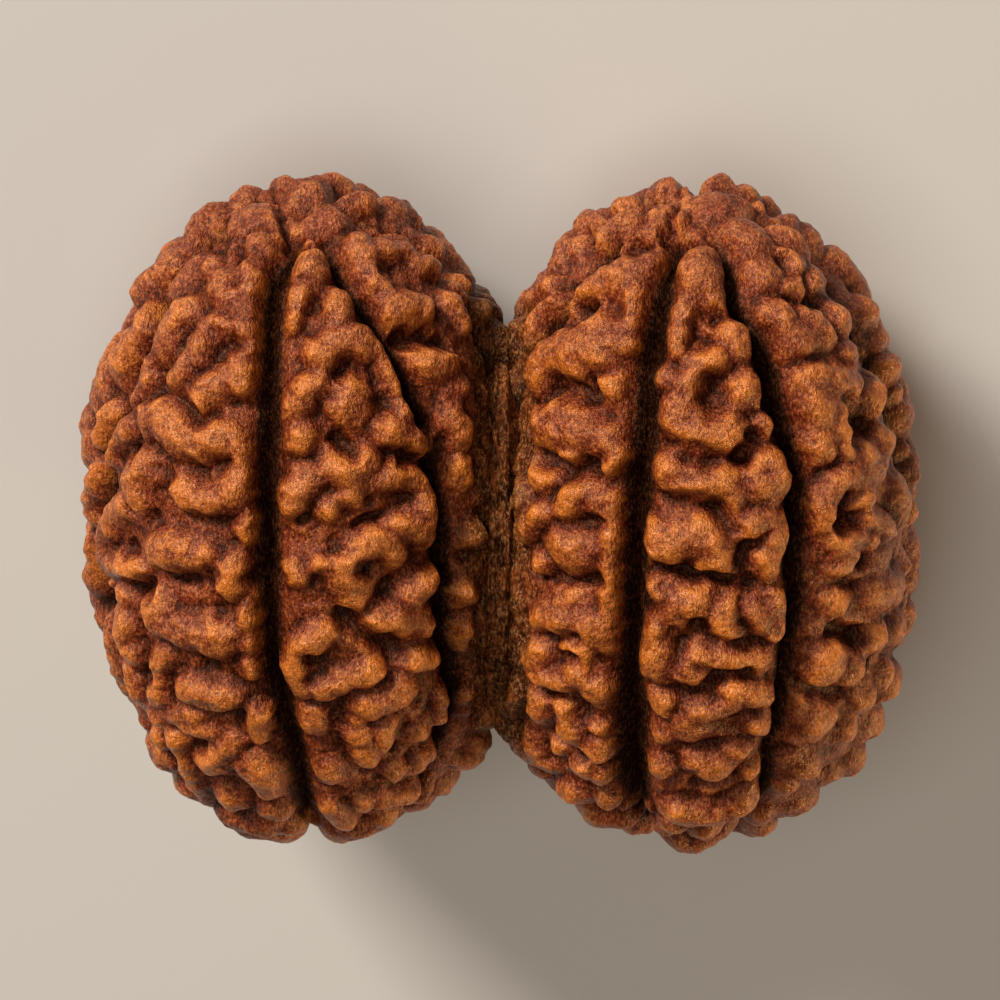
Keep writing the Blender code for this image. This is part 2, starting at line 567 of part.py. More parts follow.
class Nut(Egg):
    """One nut: an egg with the grooves and strokes that were read on its upper side."""

    def __init__(self, middle, radius, taper, ridges, hollows, grooves, hidden_grooves, seed):
        super().__init__(middle, radius, taper)
        self.random = np.random.default_rng(seed)
        self.ridges = self.strokes(ridges)
        self.hollows = self.strokes(hollows)
        self.groove_edges = self.find_groove_edges(grooves, hidden_grooves)
        self.ridges = np.vstack((self.ridges, self.spare_ridges()))
        places = self.ridges[:, :3]
        self.ridges[:, 3] *= 1.0 + BEAD_SWELL * value_noise(places, BEAD_CELL * UNIT, SEED + 31)
        self.ridges[:, 4] += BEAD_RISE * value_noise(places, BEAD_CELL * UNIT, SEED + 32)

    def seen_at(self, spots):
        """Points of the plain egg that the view shows at given spots, found along each line of sight."""
        spots = np.asarray(spots, dtype=float)
        up = np.array((0.0, math.cos(VIEW_TILT), -math.sin(VIEW_TILT)))
        back = np.array((0.0, math.sin(VIEW_TILT), math.cos(VIEW_TILT)))
        eye = back * VIEW_DISTANCE
        target = (spots[:, :1] - VIEW_MIDDLE[0]) * UNIT * np.array((1.0, 0.0, 0.0))
        target = target + (VIEW_MIDDLE[1] - spots[:, 1:2]) * UNIT * up
        sight = target - eye
        sight = sight / np.linalg.norm(sight, axis=1, keepdims=True)
        steps = np.linspace(VIEW_DISTANCE - SIGHT_REACH, VIEW_DISTANCE + SIGHT_REACH, SIGHT_STEPS)
        path = eye + sight[:, None, :] * steps[None, :, None] - (self.middle - np.array(VIEW_TARGET))
        depth = self.inside(path)
        first = np.argmax(depth < 1.0, axis=1)
        nearest = np.argmin(depth, axis=1)
        chosen = np.where(first > 0, first, nearest)
        rows = np.arange(len(spots))
        return path[rows, chosen] / depth[rows, chosen][:, None] ** (1.0 / BLUNTNESS)

    def strokes(self, entries):
        """Rows of x, y, z, half width and height for every point along every stroke."""
        spots = []
        sizes = []
        for half_width, height, points in entries:
            corners = np.array(points, dtype=float)
            lengths = np.concatenate(([0.0], np.cumsum(np.linalg.norm(np.diff(corners, axis=0), axis=1))))
            count = max(1, int(round(lengths[-1] / STROKE_STEP)) + 1)
            for place in np.linspace(0.0, lengths[-1], count):
                spots.append([np.interp(place, lengths, corners[:, axis]) for axis in (0, 1)])
                sizes.append((half_width, height))
        return np.hstack((self.seen_at(spots), np.array(sizes, dtype=float)))

    def find_groove_edges(self, grooves, hidden_grooves):
        """Turn angles of each groove's two edges against the polar angle, in order about the nut."""
        theta = np.linspace(0.0, math.pi, GROOVE_KNOTS)
        found = []
        for groove in grooves:
            rows = np.array(groove, dtype=float)
            edges = []
            for column in (1, 2):
                points = self.seen_at(np.stack((rows[:, column], rows[:, 0]), axis=1))
                polar = self.polar_angle(points)
                turn = np.arctan2(points[:, 0], points[:, 2])
                order = np.argsort(polar)
                edges.append(np.interp(theta, polar[order], turn[order]))
            found.append(np.stack(edges))
        for degrees in hidden_grooves:
            wander = self.random.normal(0.0, 1.0, WANDER_KNOTS)
            knots = np.linspace(0.0, math.pi, WANDER_KNOTS)
            middle = math.radians(degrees) + GROOVE_WANDER * np.interp(theta, knots, wander)
            ring = self.radius * np.maximum(np.sin(theta), LEAST_RING)
            half = 0.5 * HIDDEN_GROOVE_WIDTH * UNIT / ring
            found.append(np.stack((middle - half, middle + half)))
        equator = GROOVE_KNOTS // 2
        found.sort(key=lambda edges: edges[0, equator] % (2.0 * math.pi))
        kernel = np.ones(GROOVE_SMOOTHING) / GROOVE_SMOOTHING
        margin = GROOVE_SMOOTHING // 2
        padded = np.pad(np.unwrap(np.concatenate(found), axis=0), ((0, 0), (margin, margin)), mode="edge")
        smooth = np.stack([np.convolve(line, kernel, mode="valid") for line in padded])
        widths = np.diff(np.vstack((smooth, smooth[:1] + 2.0 * math.pi)), axis=0)
        widths[0::2] = np.maximum(widths[0::2], LEAST_GROOVE_TURN)
        widths[1::2] = np.maximum(widths[1::2], LEAST_SEGMENT_TURN)
        widths = widths * 2.0 * math.pi / widths.sum(axis=0)
        ordered = np.vstack((np.zeros_like(widths[:1]), np.cumsum(widths[:-1], axis=0)))
        return ordered + (smooth - ordered).mean(axis=0)

    def spare_ridges(self):
        """Seeded ridges of the same kind for the sides that the view doesn't show."""
        back = np.array((0.0, math.sin(VIEW_TILT), math.cos(VIEW_TILT)))
        known = self.ridges[:, :3]
        rows = []
        for _ in range(SPARE_TRIES):
            theta = math.acos(self.random.uniform(-SPARE_POLE, SPARE_POLE))
            turn = self.random.uniform(0.0, 2.0 * math.pi)
            start = self.surface(np.array(theta), np.array(turn))
            length = self.random.uniform(*SPARE_LENGTH)
            half_width = self.random.uniform(*SPARE_RADIUS)
            top = self.random.uniform(*SPARE_TOP)
            heading = self.random.normal(0.0, SPARE_HEADING)
            bend = self.random.normal(0.0, SPARE_BEND)
            if self.normals(start) @ back > SPARE_FACING:
                continue
            if np.linalg.norm(known - start, axis=1).min() < SPARE_GAP * UNIT:
                continue
            steps = np.linspace(0.0, 1.0, max(1, int(length / STROKE_STEP)))
            angle = heading + bend * steps
            advance = length * UNIT / max(len(steps), 1)
            ring = max(math.hypot(start[0], start[2]), SPARE_RING)
            turns = turn + np.cumsum(np.cos(angle)) * advance / ring
            thetas = theta + np.cumsum(np.sin(angle)) * advance / HALF_LENGTH
            points = self.surface(thetas, turns)
            known = np.vstack((known, points))
            rows.append(np.hstack((points, np.tile((half_width, top), (len(points), 1)))))
        return np.vstack(rows)

    def place(self, theta, column):
        """Turn angles, distances to the nearest groove edge and shares of the way across a segment.

        Bands alternate between grooves and the segments between them, and a column counts the bands. The
        distance is in view units and below 0 inside a groove.
        """
        bands = len(self.groove_edges)
        band = np.floor(column).astype(int) % bands
        share = column - np.floor(column)
        knots = np.linspace(0.0, math.pi, self.groove_edges.shape[1])
        edges = np.stack([np.interp(theta, knots, line) for line in self.groove_edges])
        edges = np.vstack((edges, edges[:1] + 2.0 * math.pi))
        rows = np.arange(len(theta))
        start = edges[band, rows]
        end = edges[band + 1, rows]
        turn = start + share * (end - start)
        ring = self.radius * np.abs(np.sin(theta)) ** (2.0 / BLUNTNESS) / UNIT
        side = np.where(band % 2 == 1, 1.0, -1.0)
        return turn, side * np.minimum(turn - start, end - turn) * ring, np.where(band % 2 == 1, share, 0.0)


def value_noise(points, cell, seed):
    """Smooth noise from -1 to 1: seeded values on a cubic lattice, eased between its corners."""
    table = np.random.default_rng(seed).uniform(-1.0, 1.0, NOISE_VALUES)
    scaled = points / cell
    corner = np.floor(scaled).astype(np.int64)
    part = scaled - corner
    part = part * part * (3.0 - 2.0 * part)
    total = np.zeros(len(points))
    for step_x in (0, 1):
        for step_y in (0, 1):
            for step_z in (0, 1):
                mixed = (corner[:, 0] + step_x) * NOISE_PRIMES[0]
                mixed = mixed ^ (corner[:, 1] + step_y) * NOISE_PRIMES[1]
                mixed = mixed ^ (corner[:, 2] + step_z) * NOISE_PRIMES[2]
                weight = np.abs(1 - step_x - part[:, 0])
                weight = weight * np.abs(1 - step_y - part[:, 1]) * np.abs(1 - step_z - part[:, 2])
                total += table[mixed % NOISE_VALUES] * weight
    return total


def squared_distances(points, others):
    """Squared distances between two lists of points, in view units."""
    first = points / UNIT
    second = others / UNIT
    squares = (first ** 2).sum(axis=1)[:, None] + (second ** 2).sum(axis=1)[None, :]
    return np.maximum(squares - 2.0 * first @ second.T, 0.0)


def banks_and_scoops(nut, points):
    """Height of the ridges and depth of the deepest hollow at each point, in view units.

    A ridge is a pillow about its line: its drop from the top is half_width * (a t^2 + b t^4), where t is
    the distance over the half width. Neighbours melt into each other by k log(sum of exp(height / k)).
    A hollow is a bowl about its line, depth * (1 - (t / reach)^2).
    """
    heights = []
    scoops = []
    for first in range(0, len(points), BLOCK):
        block = points[first:first + BLOCK]
        widths = nut.ridges[:, 3]
        share = squared_distances(block, nut.ridges[:, :3]) / widths ** 2
        tops = nut.ridges[:, 4] - widths * share * (PILLOW_CURVE + PILLOW_FLANK * share)
        highest = tops.max(axis=1)
        heights.append(highest + MELT * np.log(np.exp((tops - highest[:, None]) / MELT).sum(axis=1)))
        share = squared_distances(block, nut.hollows[:, :3]) / (HOLLOW_REACH * nut.hollows[:, 3]) ** 2
        scoops.append((nut.hollows[:, 4] * np.maximum(1.0 - share, 0.0)).max(axis=1))
    return np.concatenate(heights), np.concatenate(scoops)


def relief(nut, points, to_edge, segment_share):
    """Height of the wrinkled surface over the plain egg, in view units.

    The ridges run smoothly into the floor between them, max + k h^2 / 4 with h = 1 - gap / k. Hollows are
    scooped out of that, each segment swells a little, and the grooves are cut by a rounded step,
    depth / (1 + exp(distance / width)), which stands back under each knob.
    """
    wobble = np.stack([value_noise(points, WOBBLE_CELL * UNIT, SEED + axis) for axis in range(3)], axis=1)
    height, scoop = banks_and_scoops(nut, points + wobble * WOBBLE * UNIT)
    floor = PLATEAU_LEVEL + PLATEAU_SWELL * value_noise(points, PLATEAU_CELL * UNIT, SEED + 7)
    blend = np.maximum(1.0 - np.abs(height - floor) / FOOT_BLEND, 0.0)
    height = RELIEF_GAIN * (np.maximum(height, floor) + 0.25 * FOOT_BLEND * blend ** 2 - scoop)
    ring = np.hypot(points[:, 0], points[:, 2]) / UNIT
    near_pole = np.clip((ring - POLE_FADE[0]) / (POLE_FADE[1] - POLE_FADE[0]), 0.0, 1.0)
    fade = near_pole * near_pole * (3.0 - 2.0 * near_pole)
    height = height + SEGMENT_BULGE * (np.sin(math.pi * segment_share) - 0.5) * fade
    to_seam = (points[:, 0] + nut.middle[0] - SEAM_MIDDLE) / SEAM_DIP_WIDTH
    height = height - SEAM_DIP * np.exp(-to_seam ** 2)
    reach = to_edge + EDGE_BULGE * np.clip(height, -EDGE_BULGE_REACH, EDGE_BULGE_REACH) + WALL_SHIFT
    cut = fade / (1.0 + np.exp(reach / WALL_WIDTH))
    shoulder = SHOULDER_DEPTH * np.exp(-np.maximum(to_edge, 0.0) / SHOULDER_WIDTH)
    bottom = GROOVE_DEPTH + np.minimum(np.maximum(-to_edge, 0.0), GROOVE_MIDDLE)
    pit = POLE_PIT_DEPTH * np.exp(-(ring / POLE_PIT_RADIUS) ** 2)
    return (height - fade * shoulder) * (1.0 - cut) - bottom * cut - pit


def sphere_object(name, columns, rows, collection):
    """A unit sphere as a new object, with its poles on Z."""
    bm = bmesh.new()
    bmesh.ops.create_uvsphere(bm, u_segments=columns, v_segments=rows, radius=1.0)
    mesh = bpy.data.meshes.new(name)
    bm.to_mesh(mesh)
    bm.free()
    obj = bpy.data.objects.new(name, mesh)
    collection.objects.link(obj)
    return obj


def read_points(mesh):
    """The mesh's vertices as an array."""
    flat = np.empty(len(mesh.vertices) * 3)
    mesh.vertices.foreach_get("co", flat)
    return flat.reshape(-1, 3)


def make_nut(name, nut, collection):
    """One nut: a sphere drawn out to the egg, its columns led along the grooves, with its relief."""
    obj = sphere_object(name, NUT_COLUMNS, NUT_ROWS, collection)
    unit_points = read_points(obj.data)
    theta = np.arccos(np.clip(unit_points[:, 2], -1.0, 1.0))
    around = np.arctan2(unit_points[:, 1], unit_points[:, 0]) / (2.0 * math.pi) % 1.0
    pairs = around * len(nut.groove_edges) / 2.0
    share = pairs - np.floor(pairs)
    groove = share / GROOVE_SHARE
    segment = 1.0 + (share - GROOVE_SHARE) / (1.0 - GROOVE_SHARE)
    column = 2.0 * np.floor(pairs) + np.where(share < GROOVE_SHARE, groove, segment)
    turn, to_edge, segment_share = nut.place(theta, column)
    plain = nut.surface(theta, turn)
    height = relief(nut, plain, to_edge, segment_share)
    points = plain + nut.normals(plain) * height[:, None] * UNIT + nut.middle
    obj.data.vertices.foreach_set("co", points.ravel())
    obj.data.update()
    return obj


def reach_to_skin(nut, x, out_y, out_z):
    """Distance from the seam's axis to the plain egg's skin along directions square to X, by halving."""
    low = np.zeros_like(x)
    high = np.full_like(x, SEAM_SEARCH)
    for _ in range(SEAM_SEARCH_STEPS):
        middle = 0.5 * (low + high)
        points = np.stack((x, SEAM_AXIS[0] + middle * out_y, SEAM_AXIS[1] + middle * out_z), axis=-1)
        inside = nut.inside(points - nut.middle) < 1.0
        low = np.where(inside, middle, low)
        high = np.where(inside, high, middle)
    return low


def make_seam(left, right, collection):
    """The fibrous web that fills the crease between the nuts.

    The two eggs' skins run into each other by a smooth maximum, max + k h^2 / 4 with h = 1 - gap / k, laid
    at the depth of the valleys. Away from the crease the web dives under the nuts' own skin.
    """
    obj = sphere_object("seam", SEAM_COLUMNS, SEAM_ROWS, collection)
    unit_points = read_points(obj.data)
    share = 0.5 + 0.5 * unit_points[:, 2]
    x = SEAM_SPAN[0] + share * (SEAM_SPAN[1] - SEAM_SPAN[0])
    turn = np.arctan2(unit_points[:, 0], unit_points[:, 1])
    out_y = np.sin(turn)
    out_z = np.cos(turn)
    left_reach = reach_to_skin(left, x, out_y, out_z)
    right_reach = reach_to_skin(right, x, out_y, out_z)
    apart = np.abs(left_reach - right_reach) / SEAM_FILLET
    blend = np.maximum(1.0 - apart, 0.0)
    filled = 0.25 * SEAM_FILLET * blend ** 2
    reach = np.maximum(left_reach, right_reach) - SEAM_LEVEL + filled
    reach = reach - SEAM_SINK * np.maximum(1.0 - filled / SEAM_CLEAR, 0.0)
    reach = reach - SEAM_DEEP * np.clip(apart - SEAM_DIVE, 0.0, 1.0)
    place = np.stack((x, SEAM_AXIS[0] + reach * out_y, SEAM_AXIS[1] + reach * out_z), axis=1)
    reach = reach + SEAM_LUMP * value_noise(place, SEAM_LUMP_CELL, SEED + 24)
    reach = reach * np.minimum(SEAM_CAP * np.hypot(unit_points[:, 0], unit_points[:, 1]), 1.0)
    points = np.stack((x, SEAM_AXIS[0] + reach * out_y, SEAM_AXIS[1] + reach * out_z), axis=1)
    obj.data.vertices.foreach_set("co", points.ravel())
    obj.data.update()
    return obj


def bake(obj):
    """Replace the object's mesh with what its modifiers make."""
    graph = bpy.context.evaluated_depsgraph_get()
    mesh = bpy.data.meshes.new_from_object(obj.evaluated_get(graph))
    obj.modifiers.clear()
    obj.data = mesh


def grow_together(target, others):
    """Take the other closed objects into the target's mesh, and make one even skin round them all."""
    bm = bmesh.new()
    for obj in (target, *others):
        bm.from_mesh(obj.data)
    bm.to_mesh(target.data)
    bm.free()
    for obj in others:
        bpy.data.objects.remove(obj)
    skin = target.modifiers.new("one skin", "REMESH")
    skin.mode = "VOXEL"
    skin.voxel_size = SKIN_CELL
    evening = target.modifiers.new("even", "SMOOTH")
    evening.factor = EVEN_FACTOR
    evening.iterations = EVEN_ROUNDS
    bake(target)


def thin_out(obj):
    """Bring the mesh down to the wanted number of triangles, keeping them where the form bends."""
    obj.data.calc_loop_triangles()
    decimate = obj.modifiers.new("thin out", "DECIMATE")
    decimate.ratio = TRIANGLE_LIMIT / len(obj.data.loop_triangles)
    decimate.use_collapse_triangulate = True
    bake(obj)


def rest_cutter(collection):
    """A block below the surface that the twin nut rests on."""
    bpy.ops.mesh.primitive_cube_add(size=1.0, location=(0.0, 0.0, -0.5 * REST_CUTTER_SIZE[2]))
    cutter = bpy.context.object
    cutter.name = "rest_cutter"
    cutter.scale = REST_CUTTER_SIZE
    cutter.hide_render = True
    cutter.display_type = "WIRE"
    for owner in cutter.users_collection:
        owner.objects.unlink(cutter)
    collection.objects.link(cutter)
    return cutter


def nut_material():
    """Oiled brown nutshell."""
    material = bpy.data.materials.new("nutshell")
    material.use_nodes = True
    shader = material.node_tree.nodes["Principled BSDF"]
    shader.inputs["Base Color"].default_value = (0.30, 0.095, 0.028, 1.0)
    shader.inputs["Roughness"].default_value = 0.45
    shader.inputs["Metallic"].default_value = 0.0
    return material


def main():
    """Clear the scene and build the twin nut."""
    for obj in list(bpy.data.objects):
        bpy.data.objects.remove(obj, do_unlink=True)
    parts = bpy.data.collections.new("gauri_shankar_rudraksha")
    cutters = bpy.data.collections.new("cutters")
    bpy.context.scene.collection.children.link(parts)
    bpy.context.scene.collection.children.link(cutters)
    left = Nut(LEFT_MIDDLE, LEFT_RADIUS, LEFT_TAPER, LEFT_RIDGES, LEFT_HOLLOWS, LEFT_GROOVES,
               LEFT_HIDDEN_GROOVES, SEED)
    right = Nut(RIGHT_MIDDLE, RIGHT_RADIUS, RIGHT_TAPER, RIGHT_RIDGES, RIGHT_HOLLOWS, RIGHT_GROOVES,
                RIGHT_HIDDEN_GROOVES, SEED + 1)
    twin = make_nut(NAME, left, parts)
    grow_together(twin, (make_nut("right_nut", right, parts), make_seam(left, right, parts)))
    thin_out(twin)
    cut = twin.modifiers.new("rest", "BOOLEAN")
    cut.operation = "DIFFERENCE"
    cut.solver = "EXACT"
    cut.object = rest_cutter(cutters)
    twin.data.materials.clear()
    twin.data.materials.append(nut_material())
    twin.data.shade_smooth()


main()
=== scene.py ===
"""Twin rudraksha nut: its finished skin, the floor it lies on, the light and the camera.

The file is laid out as a Blender add-on and runs as a script. The nut's form comes from the same two
eggs, grooves and strokes as the solid that it stands for, worked out here on a much finer grid. X runs
across the two nuts, +Y runs along them to the stalk end, and +Z points up from the floor.
"""
import itertools
import math

import bpy
import numpy as np
from mathutils import Matrix, Vector


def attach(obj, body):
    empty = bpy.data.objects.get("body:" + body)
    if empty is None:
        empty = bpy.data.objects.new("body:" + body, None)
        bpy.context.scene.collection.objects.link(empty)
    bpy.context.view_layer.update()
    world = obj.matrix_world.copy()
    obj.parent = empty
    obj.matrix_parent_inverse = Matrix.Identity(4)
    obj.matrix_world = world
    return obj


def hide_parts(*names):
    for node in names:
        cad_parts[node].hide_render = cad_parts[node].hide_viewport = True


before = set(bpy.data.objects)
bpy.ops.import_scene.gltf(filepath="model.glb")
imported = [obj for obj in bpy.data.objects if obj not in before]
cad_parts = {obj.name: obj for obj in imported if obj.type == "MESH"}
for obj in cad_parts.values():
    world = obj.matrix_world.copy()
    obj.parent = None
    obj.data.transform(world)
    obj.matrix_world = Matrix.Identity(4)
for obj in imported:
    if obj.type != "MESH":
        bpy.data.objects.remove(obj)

bl_info = {
    "name": "Twin Rudraksha Nut",
    "version": (1, 0, 0),
    "blender": (4, 5, 0),
    "location": "3D View > Sidebar > Rudraksha",
    "description": "Builds a twin rudraksha nut with wrinkled ridges and a fibrous seam, on a studio floor",
    "category": "Add Mesh",
}

NODE = "rudraksha"
BODY = "root"
SEED = 108

# Driving dimensions, in metres
LEFT_RADIUS = 0.00904
RIGHT_RADIUS = 0.00916
HALF_LENGTH = 0.01395
LEFT_TAPER = 0.05
RIGHT_TAPER = 0.09
LEFT_MIDDLE = (-0.00757, 0.00000, 0.00899)
RIGHT_MIDDLE = (0.00751, 0.00002, 0.00911)
BLUNTNESS = 2.15

# The side on view was read as points on a plane through the left nut's middle: one unit is 0.04 mm there
UNIT = 0.00004
VIEW_TILT = math.radians(30.0)
VIEW_UP = np.array((0.0, math.cos(VIEW_TILT), -math.sin(VIEW_TILT)))
VIEW_BACK = np.array((0.0, math.sin(VIEW_TILT), math.cos(VIEW_TILT)))
VIEW_DISTANCE = 0.222
VIEW_TARGET = (0.0, 0.00005, 0.00911)
VIEW_MIDDLE = (502.25, 512.0)
PICTURE_MIDDLE = (500.0, 500.0)
LENS = 200.0
SENSOR = 36.0
CLIP_RANGE = (0.01, 10.0)
STROKE_STEP = 3.5

# Search for a stroke's place along a line of sight, in metres
SIGHT_REACH = 0.02
SIGHT_STEPS = 801

# Relief of the ridges and hollows, in view units
PILLOW_CURVE = 0.36
PILLOW_FLANK = 0.02
MELT = 2.0
STROKE_REACH = 60.0
OUT_OF_REACH = -1000.0
HOLLOW_REACH = 1.5
BEAD_RISE = 3.8
BEAD_SWELL = 0.2
BEAD_CELL = 11.0
PLATEAU_LEVEL = -10.0
PLATEAU_SWELL = 3.0
PLATEAU_CELL = 18.0
FOOT_BLEND = 6.0
RELIEF_GAIN = 1.12
CREASE_SOFTENING = 2
SEGMENT_BULGE = 5.0
LUMP = 1.8
LUMP_CELL = 9.0
WRINKLE = 1.2
WRINKLE_CELL = 5.0
WOBBLE = 4.0
WOBBLE_CELL = 12.0

# Grooves and poles, in view units, with turns in radians
GROOVE_DEPTH = 24.0
GROOVE_MIDDLE = 14.0
GROOVE_LUMP = 4.0
GROOVE_LUMP_CELL = 10.0
WALL_SHIFT = 2.0
WALL_WIDTH = 3.0
STEEPEST = 30.0
EDGE_BULGE = 0.9
EDGE_RANGE = 8.0
SHOULDER_DEPTH = 5.0
SHOULDER_WIDTH = 9.0
POLE_FADE = (24.0, 75.0)
POLE_PIT_DEPTH = 10.0
POLE_PIT_RADIUS = 17.0
HIDDEN_GROOVE_WIDTH = 20.0
GROOVE_WANDER = 0.05
WANDER_KNOTS = 10
ANGLE_KNOTS = 181
EQUATOR = ANGLE_KNOTS // 2
ANGLE_SMOOTHING = 5
LEAST_GROOVE_TURN = 0.08
LEAST_SEGMENT_TURN = 0.4
LEAST_SINE = 0.3

# Ridges of the sides that the view doesn't show, in view units, with the least ring in metres
SPARE_RADIUS = (11.0, 19.0)
SPARE_TOP = (-2.0, 7.0)
SPARE_LENGTH = (20.0, 75.0)
SPARE_GAP = 28.0
SPARE_TRIES = 2600
SPARE_HEADING = 0.55
SPARE_BEND = 1.5
SPARE_FACING = 0.22
SPARE_POLE_GAP = 0.01
SPARE_LEAST_RING = 0.002

# What the colours go by, in view units: the crest's rise over its surroundings, low in the hollows where
# shade is painted, and the groove's painted shade
CREST_SOFTENING = 60
CREST_RANGE = 12.0
SHADE_SHIFT = -2.5
SHADE_WIDTH = 3.5

# Noise lattice: how many values it draws, and the primes that spread its corners over them
LATTICE_VALUES = 4096
LATTICE_PRIMES = (73856093, 19349663, 83492791)

# Grid of one nut, and the block of it that is worked out at a time
GRID_ROWS = 640
SIDE_KNOTS = 4001
SEGMENT_STEP = 2.1
GROOVE_COLUMNS = 18
BLOCK = 24
NUT_TRIANGLES = 196000

# The fibrous seam, in metres, with its dip in view units
SEAM_MIDDLE = -0.0001
SEAM_AXIS = (-0.0001, 0.0090)
SEAM_SPAN = (-0.0017, 0.0015)
SEAM_SEARCH = 0.016
SEAM_HALVINGS = 30
SEAM_FILLET = 0.0020
SEAM_LEVEL = 0.0005
SEAM_CLEAR = 0.0002
SEAM_SINK = 0.0003
SEAM_DEEP = 0.0013
SEAM_DIVE = 0.6
SEAM_HALF_WIDTH = 0.0010
SEAM_RING = 0.008
SEAM_BEND = 0.0004
SEAM_BEND_CELL = 0.0012
FIBRE_WIDTH = 0.00016
FIBRE_STRETCH = 0.15
FIBRE_HEIGHT = 0.00008
SEAM_LUMP = 0.00015
SEAM_LUMP_CELL = 0.0005
SEAM_RAGGED = 0.0001
SEAM_RAGGED_CELL = 0.0006
SEAM_DIP = 1.5
SEAM_DIP_WIDTH = 0.0035
SEAM_CREST = 0.4
SEAM_COLUMNS = 360
SEAM_ROWS = 96

# Finish of the shell: sizes of its patterns in millimetres, their stretch, and how deep they are raised
PATCH_SIZE = 3.0
MOTTLE_SIZE = 0.50
BLOTCH_SIZE = 0.26
GRAIN_SIZE = 0.17
SPARKLE_SIZE = 0.10
STRAND_STRETCH = (1.0, 0.45, 0.8)
MOTTLE_RAISED = 0.14
GRAIN_RAISED = 0.10
SPARKLE_RAISED = 0.08

# How far each pattern shifts the crest height that the colours go by, and its tone
MOTTLE_SHIFT = 0.5
PATCH_SHIFT = 0.6
BLOTCH_SHIFT = 0.6
STRAND_SHIFT = 1.4
SPARKLE_TONE = 3.0
GRAIN_TONE = 1.8
DARKEST_TONE = 0.55

# Ranges over which one colour passes into the next, by crest height, fibre height, groove or pattern
SHELL_RANGE = (0.0, 0.55)
CREST_COLOUR_RANGE = (0.45, 1.05)
STRAND_RANGE = (0.2, 1.0)
GROOVE_RANGE = (0.05, 0.85)
FLECK_RANGE = (0.48, 0.66)

# Values that change with crest height or groove: its low and high, and the value at each
TONE_BY_HEIGHT = (0.2, 1.0, 1.1, 0.50)
# Painted glints: light flecks, more on the crests than in the hollows
GLINTS_BY_HEIGHT = (0.1, 0.7, 0.12, 0.40)
GLOSS_BY_HEIGHT = (0.2, 0.9, 0.15, 0.75)
ROUGHNESS_BY_HEIGHT = (0.1, 0.9, 0.46, 0.30)
# The flecks, painted glints on the shell and dust on the seam, fade out in the grooves
FLECKS_BY_GROOVE = (0.0, 1.0, 1.0, 0.15)

# Shares of the husk's colour, flecks and dullness, the thin coat of oil, and the light that sinks in
HUSK_COVER = 0.85
HUSK_FLECKS = 0.15
HUSK_MATT = 0.7
COAT_WEIGHT = 0.12
COAT_ROUGHNESS = 0.42
GLOSS_TINT = (1.0, 0.80, 0.60, 1.0)
GLOW_WEIGHT = 0.08
GLOW_RADIUS = (1.0, 0.35, 0.12)
GLOW_DEPTH = 0.0004
SHELL_IOR = 1.5

# The stage, in metres: each lamp has its direction from the nut, distance, size and colour
FLOOR_HALF_SIZE = 1.5
FLOOR_ROUGHNESS = 0.9
KEY_LAMP = ((-0.58, 0.88, 0.46), 0.80, 0.20, (1.0, 0.93, 0.84))
FILL_LAMP = ((-0.20, 0.30, 1.00), 0.50, 0.30, (1.0, 0.95, 0.88))
RIM_LAMP = ((0.85, -0.55, 0.05), 0.30, 0.08)
SURROUND_COLOUR = (0.80, 0.72, 0.62, 1.0)
SURROUND_STRENGTH = 0.09

